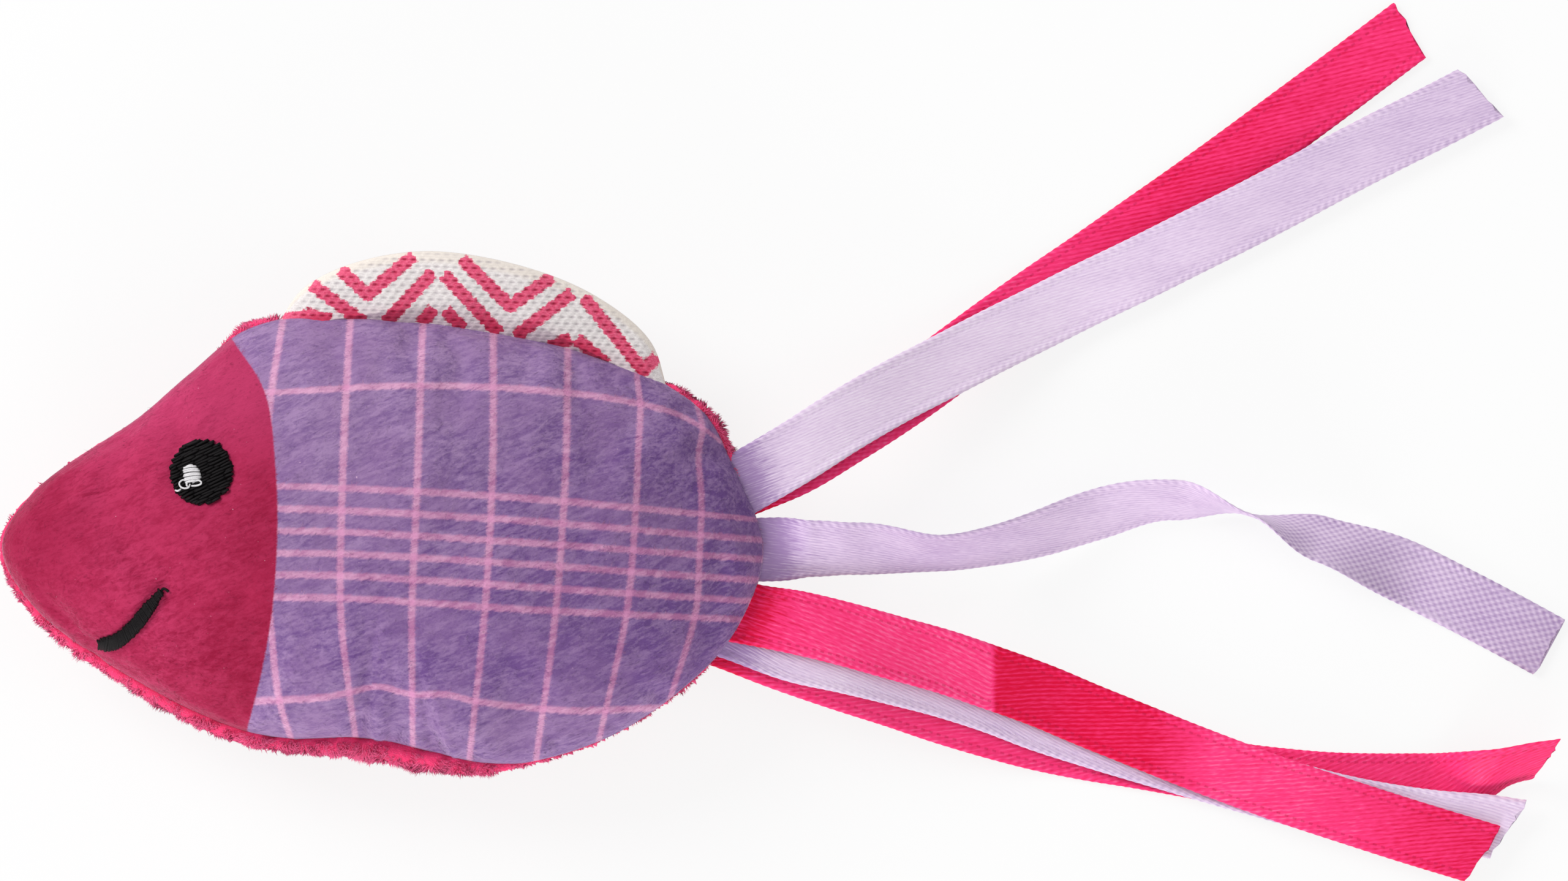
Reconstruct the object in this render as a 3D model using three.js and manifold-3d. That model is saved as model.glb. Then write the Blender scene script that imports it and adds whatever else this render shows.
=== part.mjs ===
// Catnip fish for a cat: a stuffed cloth body with a canvas fin, an embroidered face and a satin ribbon tail.
// It lies on its plush back. Millimetres: the face looks up +Z, the nose points to -X and the fin to +Y.
import * as THREE from "three";
import { mergeVertices } from "three/addons/utils/BufferGeometryUtils.js";
import Module from "manifold-3d";

const wasm = await Module();
wasm.setup();

// Sewn edge of the body seen from the front, counter-clockwise from the middle of the tail
const BODY_EDGE = {
  tailMiddle: [37.6, 0.2],
  tailUpper: [35.1, 7.5],
  tailTop: [31.6, 14.2],
  backRear: [22.4, 19.2],
  backMiddle: [8, 22.5],
  backFront: [-6, 23.6],
  crown: [-14.4, 22.6],
  foreheadTop: [-20.5, 18],
  forehead: [-25.4, 13.8],
  brow: [-36.2, 6.2],
  noseTip: [-39.6, 0.6],
  chin: [-36.6, -5.4],
  jaw: [-27, -12.6],
  throat: [-15.2, -18.4],
  bellyFront: [-3, -19.7],
  bellyLow: [10, -21.8],
  bellyRear: [21.8, -18.8],
  tailBottom: [30.9, -12.5],
  tailLower: [35.4, -7],
};

// Body cloth and how far the filling swells it
const FRONT_CROWN = 11;
const BACK_CROWN = 10;
const FRONT_CLOTH = 1.2;
const BACK_CLOTH = 1.6;
const PILLOW_ROUND = 2.2;
const PILLOW_FULL = 0.6;
const REST_FLAT_DEPTH = 0.5;
const PLUSH_ROLL = 0.9;

// Puckers of the front cloth: the seam gathers it into a valley square to the edge, with a ridge on each side
const PUCKER_WIDTH = 1.8;
const PUCKER_REACH = 7;
const PUCKER_START = 0.9;
const PUCKER_SLOPE = 6;
const PUCKERS = [
  { degrees: 16, depth: 0.6 },
  { degrees: 25, depth: 0.35 },
  { degrees: 260, depth: 0.6 },
  { degrees: 282, depth: 0.65 },
  { degrees: 302, depth: 0.35 },
  { degrees: 332, depth: 0.45 },
];

// Seam: both edges are turned in, and the stitches bite into them
const SEAM_GAP = 0.3;
const SEAM_ALLOWANCE = 4.6;
const STITCH_INSET = 2.4;
const STITCH_BITE = 0.55;
const THREAD_RADIUS = 0.2;
const THREAD_CLEARANCE = 0.35;
const CLOSING_FROM = -105;
const CLOSING_TO = -65;
const CLOSING_STITCHES = 7;
const CLOSING_STEP = 0.15;

// Filling and herb
const FILLING_CLEARANCE = 0.35;
const HERB_LENGTH = 26;
const HERB_WIDTH = 17;
const HERB_DEPTH = 9;
const HERB_UNEVEN = 0.35;
const HERB_WAVES = 5;
const HERB_CHANNEL_RADIUS = 1.6;

// Canvas fin, sewn into the seam along the back
const FIN_FRONT_X = -11.8;
const FIN_REAR_X = 28.2;
const FIN_TOP = [
  [26.4, 21.4],
  [21.2, 25.8],
  [13.6, 29],
  [3.6, 30.6],
  [-4.4, 29.2],
  [-9.2, 26.6],
];
const FIN_CROWN = 2.4;
const FIN_CLOTH = 0.5;
const FIN_GAP = 0.55;
const FIN_STITCH_INSET = 1.1;

// Embroidered face
const EYE_CENTRE = [-19.2, 8.1];
const EYE_WIDTH = 6.2;
const EYE_HEIGHT = 6.5;
const HIGHLIGHT_CENTRE = [-20.2, 7.5];
const HIGHLIGHT_WIDTH = 2.4;
const HIGHLIGHT_HEIGHT = 2.7;
const MOUTH_LINE = [
  [-23.2, -4],
  [-24.7, -6],
  [-26.3, -7.7],
  [-28, -8.7],
  [-29.6, -9],
];
const MOUTH_WIDTH = 1.3;
const STITCH_HEIGHT = 0.6;
const EMBROIDERY_CLEARANCE = 0.3;
const BACKING_MARGIN = 1.6;
const BACKING_THICKNESS = 0.3;
const BACKING_CLEARANCE = 0.5;

// Satin ribbons: each leaves the tail seam, falls to the surface and lies there
const RIBBON_WIDTH = 6.5;
const RIBBON_THICKNESS = 0.3;
const RIBBON_LAYER = 0.8;
const RIBBON_ROOT_GAP = 0.4;
const RIBBON_ROOT_TURN = 7;
const RIBBON_FALL = 36;
const RIBBON_LIE = 0.5;
const PINK = 0xf03870;
const LILAC = 0xd2bade;
const RIBBONS = [
  {
    name: "ribbon_upper_pink",
    colour: PINK,
    layer: 0,
    rootY: 6.9,
    route: [
      [41.2, 9],
      [46.2, 12],
      [50, 14.4],
      [53.8, 17],
      [58.8, 20.7],
      [62.5, 23.4],
      [66.2, 26],
      [71.2, 29.4],
      [76.2, 32.9],
      [81.2, 36.4],
      [86.2, 40],
      [91.2, 43.7],
      [96.2, 47.4],
      [103.9, 53.2],
    ],
  },
  {
    name: "ribbon_upper_lilac",
    colour: LILAC,
    layer: 1,
    rootY: 7.1,
    route: [
      [41.2, 10.1],
      [46.2, 13.3],
      [51.2, 16.2],
      [56.2, 18.8],
      [61.2, 21.4],
      [66.2, 23.9],
      [71.2, 26.4],
      [76.2, 28.8],
      [81.2, 31.3],
      [86.2, 33.8],
      [91.2, 36.4],
      [96.2, 39.1],
      [101.2, 41.7],
      [106.2, 44.2],
      [111.2, 46.8],
    ],
  },
  {
    name: "ribbon_middle_lilac",
    colour: LILAC,
    layer: 0,
    rootY: 0.2,
    route: [
      [42.5, 0.3],
      [48.8, 0.3],
      [56.2, -0.1],
      [61.2, 0.7],
      [66.2, 1.9],
      [71.2, 3.5],
      [76.2, 4.9],
      [79.5, 5.2],
      [83.8, 4.7],
      [88.8, 3.4],
      [93.8, 1.6],
      [98.8, -0.2],
      [103.8, -2.3],
      [108.8, -4.8],
      [113.8, -7.4],
      [118.2, -9.8],
    ],
    twist: [
      [38.5, 0],
      [43, 28],
      [47, 36],
      [56, 56],
      [72, 38],
      [80, 52],
      [87.5, 90],
      [95, 138],
      [106, 180],
    ],
  },
  {
    name: "ribbon_lower_pink_back",
    colour: PINK,
    layer: 0,
    rootY: -9.2,
    route: [
      [41.2, -11.4],
      [46.2, -13.1],
      [51.2, -14.7],
      [56.2, -16.4],
      [61.2, -17.9],
      [66.2, -19.2],
      [71.2, -20.2],
      [76.2, -21],
      [81.2, -21.9],
      [86.2, -22.8],
      [91.2, -23.4],
      [96.2, -23.8],
      [103.8, -23.9],
      [108, -23.75],
      [112, -22.75],
      [115, -21.85],
      [117.8, -21.3],
    ],
    twist: [
      [106, 0],
      [115, 54],
      [118.2, 57],
    ],
  },
  {
    name: "ribbon_lower_lilac",
    colour: LILAC,
    layer: 1,
    rootY: -8.2,
    route: [
      [41.2, -10.1],
      [46.2, -11.2],
      [51.2, -12.4],
      [56.2, -13.7],
      [61.2, -15.3],
      [66.2, -17.2],
      [71.2, -18.8],
      [76.2, -20.3],
      [86.2, -23.2],
      [96.2, -25.9],
      [101.2, -26.9],
      [106.2, -27.6],
      [111.2, -28],
      [114, -28.4],
    ],
    twist: [
      [98, 0],
      [109, 5],
      [114.5, 6],
    ],
  },
  {
    name: "ribbon_lower_pink_front",
    colour: PINK,
    layer: 2,
    rootY: -6.4,
    route: [
      [41.2, -7.2],
      [46.2, -8.4],
      [51.2, -9.8],
      [56.2, -11.2],
      [61.2, -12.9],
      [66.2, -14.7],
      [71.2, -16.8],
      [76.2, -18.8],
      [81.2, -20.8],
      [86.2, -22.7],
      [91.2, -24.5],
      [98.8, -27],
      [103.8, -28.6],
      [111.4, -30.9],
    ],
  },
];

// Fineness of the facets
const BODY_SPOKES = 54;
const BODY_RINGS = 8;
const PUCKER_SPOKES = [-2.1, -1.2, -0.6, 0, 0.6, 1.2, 2.1];
const EDGE_SAMPLES = 1200;
const SPOKES_APART = 0.7;
const FIN_RINGS = 5;
const FIN_BASE_STEPS = 11;
const FIN_TOP_STEPS = 20;
const RIBBON_STEPS = 34;
const THREAD_SIDES = 5;
const SEAM_STEPS = 90;
const HERB_FACETS = 20;
const CHANNEL_SIDES = 12;
const OVAL_SIDES = 24;
const OVAL_RINGS = 3;
const MOUTH_STEPS = 14;
const MERGE_DISTANCE = 1e-4;

// The tail seam lies this high, because the back rests on the floor with its middle pressed flat
const SEAM_Z = BACK_CROWN - REST_FLAT_DEPTH + SEAM_GAP / 2;

// Joins rings of equally many points into a closed skin. A ring of one point is a tip. Open ends are capped.
function loft(rings) {
  const positions = [];
  const faces = [];
  const starts = [];
  for (const ring of rings) {
    starts.push(positions.length / 3);
    ring.forEach((point) => positions.push(point.x, point.y, point.z));
  }
  for (let k = 0; k + 1 < rings.length; k++) {
    const above = (i) => starts[k] + (i % rings[k].length);
    const below = (i) => starts[k + 1] + (i % rings[k + 1].length);
    const count = Math.max(rings[k].length, rings[k + 1].length);
    for (let i = 0; i < count; i++) {
      if (rings[k + 1].length > 1) faces.push(above(i), below(i), below(i + 1));
      if (rings[k].length > 1) faces.push(above(i), below(i + 1), above(i + 1));
    }
  }
  const lastStart = starts[rings.length - 1];
  for (let i = 1; i + 1 < rings[0].length; i++) faces.push(0, i, i + 1);
  for (let i = 1; i + 1 < rings.at(-1).length; i++) faces.push(lastStart, lastStart + i + 1, lastStart + i);
  const geometry = new THREE.BufferGeometry();
  geometry.setAttribute("position", new THREE.Float32BufferAttribute(positions, 3));
  geometry.setIndex(faces);
  return geometry;
}

function namedMesh(name, geometry, colour, roughness) {
  const material = new THREE.MeshStandardMaterial({ color: colour, roughness, metalness: 0 });
  const mesh = new THREE.Mesh(geometry, material);
  mesh.name = name;
  return mesh;
}

function manifoldOf(geometry) {
  const bare = new THREE.BufferGeometry();
  bare.setAttribute("position", geometry.getAttribute("position"));
  bare.setIndex(geometry.getIndex());
  const merged = mergeVertices(bare, MERGE_DISTANCE);
  const vertProperties = new Float32Array(merged.getAttribute("position").array);
  const triVerts = new Uint32Array(merged.getIndex().array);
  return new wasm.Manifold(new wasm.Mesh({ numProp: 3, vertProperties, triVerts }));
}

function geometryOf(manifold) {
  const solid = manifold.getMesh();
  const geometry = new THREE.BufferGeometry();
  geometry.setAttribute("position", new THREE.BufferAttribute(solid.vertProperties, 3));
  geometry.setIndex(new THREE.BufferAttribute(solid.triVerts, 1));
  return geometry;
}

// Spokes run from a middle point to points on an outline. Each knows its direction, angle and length.
function spokesTo(outline, middle) {
  return outline.map((point) => {
    const arm = point.clone().sub(middle);
    return { middle, direction: arm.clone().normalize(), angle: arm.angle(), length: arm.length() };
  });
}

// A ring on the spokes: drawn in from the outline by inset, then shrunk to a share of that size.
function ringOn(spokes, z, share, inset, grow = () => 0) {
  return spokes.map((spoke) => {
    const reach = (spoke.length + grow(spoke) - inset) * share;
    const place = spoke.middle.clone().addScaledVector(spoke.direction, reach);
    return new THREE.Vector3(place.x, place.y, z);
  });
}

function tipOn(spokes, z) {
  return [new THREE.Vector3(spokes[0].middle.x, spokes[0].middle.y, z)];
}

// How high a stuffed cloth stands above its sewn edge, at a share of the way out from its middle.
function swell(share) {
  return (1 - share ** PILLOW_ROUND) ** PILLOW_FULL;
}

function shareAtSwell(height) {
  return (1 - height ** (1 / PILLOW_FULL)) ** (1 / PILLOW_ROUND);
}

// Shares of the rings between tip and edge, closer together near the edge where the cloth turns in.
function domeShares(rings, from, to) {
  const shares = [];
  for (let i = 1; i < rings; i++) {
    const share = Math.sin(((i / rings) * Math.PI) / 2);
    if (share > from && share < to) shares.push(share);
  }
  return shares;
}

const bodyCurve = new THREE.CatmullRomCurve3(
  Object.values(BODY_EDGE).map(([x, y]) => new THREE.Vector3(x, y, 0)),
  true,
);
const bodyOutline = bodyCurve.getSpacedPoints(BODY_SPOKES).slice(0, BODY_SPOKES);
const flatPoint = (point) => new THREE.Vector2(point.x, point.y);
const bodyMiddle = new THREE.Vector2(0, 0);
const bodySpokes = spokesTo(bodyOutline.map(flatPoint), bodyMiddle);

// How far round the edge a spoke lies from an angle in degrees, in millimetres.
function roundFrom(degrees, spoke) {
  const turn = spoke.angle - THREE.MathUtils.degToRad(degrees);
  return (THREE.MathUtils.euclideanModulo(turn + Math.PI, 2 * Math.PI) - Math.PI) * spoke.length;
}

// The front cloth has more spokes at its puckers.
function frontSpokes() {
  const fine = spokesTo(bodyCurve.getSpacedPoints(EDGE_SAMPLES).slice(1).map(flatPoint), bodyMiddle);
  const spokes = [...bodySpokes];
  for (const { degrees } of PUCKERS) {
    for (const place of PUCKER_SPOKES) {
      const missed = (spoke) => Math.abs(roundFrom(degrees, spoke) - place * PUCKER_WIDTH);
      const nearest = fine.reduce((best, spoke) => (missed(spoke) < missed(best) ? spoke : best));
      const gap = (spoke) => Math.abs(spoke.angle - nearest.angle) * spoke.length;
      if (spokes.every((spoke) => gap(spoke) > SPOKES_APART)) spokes.push(nearest);
    }
  }
  return spokes.sort((a, b) => a.angle - b.angle);
}

// Draws a ring of the front cloth in at the puckers, straight down near the middle and inwards near the edge.
function puckered(ring, spokes, share) {
  const steep = share ** PUCKER_SLOPE;
  return ring.map((point, i) => {
    const { length, direction } = spokes[i];
    const inward = length * (1 - share);
    const fade =
      THREE.MathUtils.smoothstep(inward, 0, PUCKER_START) * Math.exp(-(((2 * inward) / PUCKER_REACH) ** 2));
    let drawn = 0;
    for (const { degrees, depth } of PUCKERS) {
      const across = (roundFrom(degrees, spokes[i]) / PUCKER_WIDTH) ** 2;
      drawn += fade * depth * (1 - 2 * across) * Math.exp(-across);
    }
    const inwards = direction.clone().multiplyScalar(-drawn * steep);
    return point.add(new THREE.Vector3(inwards.x, inwards.y, -drawn * (1 - steep)));
  });
}

// The plush back is rolled round to the front along the belly and not along the fin.
function plushRoll(spoke) {
  return (PLUSH_ROLL * (1 - Math.sin(spoke.angle))) / 2;
}

// One body cloth, from the middle of its outside round its turned-in edge to the middle of its inside.
// side is 1 for the front, above the seam, and -1 for the back, below it.
function bodyPanel(side, spokes, crown, cloth, flatDepth, grow) {
  const edge = SEAM_GAP / 2;
  const z = (height) => SEAM_Z + side * height;
  const flatShare = flatDepth > 0 ? shareAtSwell((crown - flatDepth) / crown) : 0;
  const lipShare = shareAtSwell(cloth / (crown - cloth));
  const biteHalf = THREAD_RADIUS + THREAD_CLEARANCE;
  const biteHeight = edge + STITCH_BITE;
  const outerHeight = (share) => edge + crown * swell(share);
  const innerHeight = (share) => edge + (crown - cloth) * swell(share);
  const rings = [tipOn(spokes, z(edge + crown - flatDepth))];
  if (flatDepth > 0) rings.push(ringOn(spokes, z(edge + crown - flatDepth), flatShare, 0, grow));
  for (const share of domeShares(BODY_RINGS, flatShare, 1)) {
    const ring = ringOn(spokes, z(outerHeight(share)), share, 0, grow);
    rings.push(side > 0 ? puckered(ring, spokes, share) : ring);
  }
  rings.push(ringOn(spokes, z(edge), 1, 0, grow));
  rings.push(ringOn(spokes, z(edge), 1, STITCH_INSET - biteHalf));
  rings.push(ringOn(spokes, z(biteHeight), 1, STITCH_INSET - biteHalf));
  rings.push(ringOn(spokes, z(biteHeight), 1, STITCH_INSET + biteHalf));
  rings.push(ringOn(spokes, z(edge), 1, STITCH_INSET + biteHalf));
  rings.push(ringOn(spokes, z(edge), 1, SEAM_ALLOWANCE));
  rings.push(ringOn(spokes, z(edge + cloth), 1, SEAM_ALLOWANCE));
  for (const share of [lipShare, ...domeShares(BODY_RINGS, 0, lipShare).reverse()]) {
    rings.push(ringOn(spokes, z(innerHeight(share)), share, cloth));
  }
  rings.push(tipOn(spokes, z(edge + crown - cloth)));
  return loft(side > 0 ? rings : rings.reverse());
}

// Half of the filling: it swells behind the cloth and stops at the turned-in allowance.
function fillingHalf(side, crown, cloth) {
  const edge = SEAM_GAP / 2;
  const z = (height) => SEAM_Z + side * height;
  const inset = cloth + FILLING_CLEARANCE;
  const fullHeight = crown - inset;
  const shelf = cloth + FILLING_CLEARANCE;
  const shelfShare = shareAtSwell(shelf / fullHeight);
  const rings = [tipOn(bodySpokes, z(edge + fullHeight))];
  for (const share of [...domeShares(BODY_RINGS, 0, shelfShare), shelfShare]) {
    rings.push(ringOn(bodySpokes, z(edge + fullHeight * swell(share)), share, inset));
  }
  rings.push(ringOn(bodySpokes, z(edge + shelf), 1, SEAM_ALLOWANCE + FILLING_CLEARANCE));
  return rings;
}

// The herb is a loose lump: an egg shape whose surface is uneven by a wave along each axis.
function herbLump(extra) {
  const lump = new THREE.SphereGeometry(1, HERB_FACETS, HERB_FACETS / 2);
  const half = new THREE.Vector3(HERB_LENGTH, HERB_WIDTH, HERB_DEPTH).multiplyScalar(0.5);
  const position = lump.getAttribute("position");
  for (let i = 0; i < position.count; i++) {
    const point = new THREE.Vector3().fromBufferAttribute(position, i);
    const wave = Math.sin(HERB_WAVES * point.x) * Math.cos(HERB_WAVES * point.y);
    point.multiply(half.clone().addScalar(HERB_UNEVEN * wave + extra));
    position.setXYZ(i, point.x, point.y, point.z + SEAM_Z);
  }
  return lump;
}

// The filling keeps a pocket for the herb, and the way it was put in through the belly.
function filling() {
  const rings = [
    ...fillingHalf(1, FRONT_CROWN, FRONT_CLOTH),
    ...fillingHalf(-1, BACK_CROWN, BACK_CLOTH).reverse(),
  ];
  const channelLength = HERB_WIDTH + Math.abs(BODY_EDGE.bellyFront[1]);
  const radius = HERB_CHANNEL_RADIUS;
  const channel = new THREE.CylinderGeometry(radius, radius, channelLength, CHANNEL_SIDES);
  channel.translate(0, -channelLength / 2, SEAM_Z);
  const hollow = manifoldOf(herbLump(FILLING_CLEARANCE)).add(manifoldOf(channel));
  const dent = manifoldOf(backingPad(FILLING_CLEARANCE, BACKING_CLEARANCE));
  return geometryOf(manifoldOf(loft(rings)).subtract(hollow).subtract(dent));
}

// A tube of thread along a curve.
function threadAlong(points, steps) {
  const corners = [];
  for (let i = 0; i < THREAD_SIDES; i++) {
    const turn = (i / THREAD_SIDES) * 2 * Math.PI;
    corners.push(new THREE.Vector2(Math.cos(turn), Math.sin(turn)).multiplyScalar(THREAD_RADIUS));
  }
  const extrudePath = new THREE.CatmullRomCurve3(points);
  return new THREE.ExtrudeGeometry(new THREE.Shape(corners), { extrudePath, steps, bevelEnabled: false });
}

// Points of the stitch line between two angles in degrees, going counter-clockwise.
function stitchLine(fromDegrees, toDegrees) {
  const from = THREE.MathUtils.degToRad(fromDegrees);
  const sweep = THREE.MathUtils.degToRad(toDegrees - fromDegrees);
  const full = 2 * Math.PI;
  return bodySpokes
    .map((spoke) => ({ spoke, turn: (((spoke.angle - from) % full) + full) % full }))
    .filter(({ turn }) => turn < sweep)
    .sort((a, b) => a.turn - b.turn)
    .map(({ spoke }) => ringOn([spoke], SEAM_Z, 1, STITCH_INSET)[0]);
}

// The gap left for the filling is closed by hand, with stitches that step from one cloth to the other.
function closingThread() {
  const line = new THREE.CatmullRomCurve3(stitchLine(CLOSING_FROM, CLOSING_TO));
  const points = line.getSpacedPoints(2 * CLOSING_STITCHES);
  points.forEach((point, i) => (point.z += i % 2 ? CLOSING_STEP : -CLOSING_STEP));
  return threadAlong(points, 4 * CLOSING_STITCHES);
}

// Height of the front cloth over a point of the face.
function frontHeight(x, y) {
  const direction = new THREE.Vector2(x, y).normalize();
  for (let i = 0; i < bodySpokes.length; i++) {
    const a = bodySpokes[i].direction.clone().multiplyScalar(bodySpokes[i].length);
    const next = bodySpokes[(i + 1) % bodySpokes.length];
    const b = next.direction.clone().multiplyScalar(next.length);
    const along = b.clone().sub(a);
    const across = direction.cross(along);
    const reach = a.cross(along) / across;
    const part = a.cross(direction) / across;
    if (reach > 0 && part >= 0 && part <= 1) {
      return SEAM_Z + SEAM_GAP / 2 + FRONT_CROWN * swell(Math.hypot(x, y) / reach);
    }
  }
  throw new Error("the point lies outside the front cloth");
}

// A pad that follows the front cloth: rings of an oval, low face and high face this far above the cloth.
function ovalPad(centre, width, height, low, high) {
  const shares = [...domeShares(OVAL_RINGS, 0, 1), 1];
  const ringAt = (share, lift) => {
    const ring = [];
    for (let i = 0; i < OVAL_SIDES; i++) {
      const turn = (i / OVAL_SIDES) * 2 * Math.PI;
      const x = centre[0] + (Math.cos(turn) * share * width) / 2;
      const y = centre[1] + (Math.sin(turn) * share * height) / 2;
      ring.push(new THREE.Vector3(x, y, frontHeight(x, y) + lift));
    }
    return ring;
  };
  const tipAt = (lift) => [new THREE.Vector3(...centre, frontHeight(...centre) + lift)];
  const upper = shares.map((share) => ringAt(share, high));
  const lower = shares.map((share) => ringAt(share, low)).reverse();
  return loft([tipAt(high), ...upper, ...lower, tipAt(low)]);
}

// The stiff backing inside the head, which the eye is stitched through, grown for the dent that it makes.
function backingPad(around, above) {
  const margin = 2 * (BACKING_MARGIN + around);
  const high = -FRONT_CLOTH - BACKING_CLEARANCE;
  const low = high - BACKING_THICKNESS;
  return ovalPad(EYE_CENTRE, EYE_WIDTH + margin, EYE_HEIGHT + margin, low - around, high + above);
}

// The mouth is one padded line of stitches along the cloth.
function mouthLine() {
  const curve = new THREE.CatmullRomCurve3(MOUTH_LINE.map(([x, y]) => new THREE.Vector3(x, y, 0)));
  const rings = [];
  for (let i = 0; i <= MOUTH_STEPS; i++) {
    const point = curve.getPointAt(i / MOUTH_STEPS);
    const tangent = curve.getTangentAt(i / MOUTH_STEPS);
    const side = new THREE.Vector3(-tangent.y, tangent.x, 0).multiplyScalar(MOUTH_WIDTH / 2);
    const corner = (across, lift) => {
      const place = point.clone().addScaledVector(side, across);
      place.z = frontHeight(place.x, place.y) + lift;
      return place;
    };
    const low = EMBROIDERY_CLEARANCE;
    const high = low + STITCH_HEIGHT;
    rings.push([corner(-1, low), corner(-1, high), corner(1, high), corner(1, low)]);
  }
  return loft(rings);
}

// Where the body's edge, with a gap to it, crosses a value of x or y, and which way the edge runs there.
function edgeWhere(gap, axis, value, onSide) {
  const edge = ringOn(bodySpokes, 0, 1, -gap, plushRoll);
  for (let i = 0; i < edge.length; i++) {
    const a = edge[i];
    const b = edge[(i + 1) % edge.length];
    const before = value - a[axis];
    const after = b[axis] - value;
    if (onSide(a) && onSide(b) && before * after >= 0) {
      return { place: a.clone().lerp(b, before / (before + after)), along: b.clone().sub(a).normalize() };
    }
  }
  throw new Error("the body has no edge there");
}

// The fin's outline: its base follows the back of the body, and a curve goes over the top.
function finOutline() {
  const base = [];
  for (let i = 0; i <= FIN_BASE_STEPS; i++) {
    const x = THREE.MathUtils.lerp(FIN_FRONT_X, FIN_REAR_X, i / FIN_BASE_STEPS);
    const { place } = edgeWhere(FIN_GAP, "x", x, (point) => point.y > 0);
    base.push(new THREE.Vector2(place.x, place.y));
  }
  const over = new THREE.SplineCurve([
    base.at(-1),
    ...FIN_TOP.map(([x, y]) => new THREE.Vector2(x, y)),
    base[0],
  ]);
  const top = over.getSpacedPoints(FIN_TOP_STEPS).slice(1, -1);
  return { base, top };
}

const fin = finOutline();
const finBaseMiddle = fin.base[Math.floor(fin.base.length / 2)];
const finTopMiddle = fin.top[Math.floor(fin.top.length / 2)];
const finMiddle = finBaseMiddle.clone().add(finTopMiddle).multiplyScalar(0.5);
const finSpokes = spokesTo([...fin.base, ...fin.top], finMiddle);

// One cloth of the fin, a shallow bowl with its edge in the seam's plane.
function finPanel(side) {
  const edge = SEAM_GAP / 2;
  const z = (height) => SEAM_Z + side * height;
  const inner = FIN_CROWN - FIN_CLOTH;
  const shares = domeShares(FIN_RINGS, 0, 1);
  const rings = [
    tipOn(finSpokes, z(edge + FIN_CROWN)),
    ...shares.map((share) => ringOn(finSpokes, z(edge + FIN_CROWN * swell(share)), share, 0)),
    ringOn(finSpokes, z(edge), 1, 0),
    ringOn(finSpokes, z(edge), 1, FIN_CLOTH),
    ...shares.reverse().map((share) => ringOn(finSpokes, z(edge + inner * swell(share)), share, FIN_CLOTH)),
    tipOn(finSpokes, z(edge + inner)),
  ];
  return loft(side > 0 ? rings : rings.reverse());
}

function finWadding() {
  const inset = FIN_STITCH_INSET + THREAD_RADIUS + THREAD_CLEARANCE;
  const crown = FIN_CROWN - FIN_CLOTH - FILLING_CLEARANCE;
  const shares = domeShares(FIN_RINGS, 0, 1);
  const half = (side) => [
    tipOn(finSpokes, SEAM_Z + side * crown),
    ...shares.map((share) => ringOn(finSpokes, SEAM_Z + side * crown * swell(share), share, inset)),
  ];
  return loft([...half(1), ringOn(finSpokes, SEAM_Z, 1, inset), ...half(-1).reverse()]);
}

function finThread() {
  const topSpokes = finSpokes.slice(fin.base.length);
  return threadAlong(ringOn(topSpokes, SEAM_Z, 1, FIN_STITCH_INSET), 2 * FIN_TOP_STEPS);
}

// How far a ribbon has turned over at x, in degrees, from its list of turns.
function twistAt(twist, x) {
  if (!twist) return 0;
  const after = twist.findIndex(([place]) => place > x);
  if (after === 0) return twist[0][1];
  if (after < 0) return twist.at(-1)[1];
  const [fromX, fromTurn] = twist[after - 1];
  const [toX, toTurn] = twist[after];
  return THREE.MathUtils.lerp(fromTurn, toTurn, THREE.MathUtils.smoothstep(x, fromX, toX));
}

// One ribbon: flat in the seam at its root, then down to the surface, in its own layer where ribbons cross.
function ribbon({ layer, rootY, route, twist }) {
  const root = edgeWhere(RIBBON_ROOT_GAP, "y", rootY, (point) => point.x > 0);
  const points = [root.place, ...route.map(([x, y]) => new THREE.Vector3(x, y, 0))];
  const curve = new THREE.CatmullRomCurve3(points);
  const reach = curve.getLength();
  const rings = [];
  for (let i = 0; i <= RIBBON_STEPS; i++) {
    const share = i / RIBBON_STEPS;
    const point = curve.getPointAt(share);
    const tangent = curve.getTangentAt(share);
    const square = new THREE.Vector3(-tangent.y, tangent.x, 0);
    const turned = THREE.MathUtils.smoothstep(share * reach, 0, RIBBON_ROOT_TURN);
    const flat = root.along.clone().lerp(square, turned).normalize();
    const turn = THREE.MathUtils.degToRad(twistAt(twist, point.x));
    const fallen = THREE.MathUtils.clamp((point.x - root.place.x) / RIBBON_FALL, 0, 1);
    const drop = (1 + Math.cos(Math.PI * fallen)) / 2;
    const lie = RIBBON_LIE + (SEAM_Z - RIBBON_LAYER - RIBBON_LIE) * drop;
    point.z = lie + layer * RIBBON_LAYER + (RIBBON_WIDTH / 2) * Math.abs(Math.sin(turn));
    const side = flat.clone().multiplyScalar(Math.cos(turn)).setZ(Math.sin(turn));
    const face = tangent.clone().cross(side).normalize();
    const corner = (across, through) =>
      point
        .clone()
        .addScaledVector(side, (across * RIBBON_WIDTH) / 2)
        .addScaledVector(face, (through * RIBBON_THICKNESS) / 2);
    rings.push([corner(-1, -1), corner(-1, 1), corner(1, 1), corner(1, -1)]);
  }
  return loft(rings);
}

const eyeLow = EMBROIDERY_CLEARANCE;
const eyeHigh = eyeLow + STITCH_HEIGHT;
const highlightLow = eyeHigh + EMBROIDERY_CLEARANCE;
const highlightHigh = highlightLow + STITCH_HEIGHT;
const seamLine = stitchLine(CLOSING_TO, CLOSING_FROM + 360);

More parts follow.
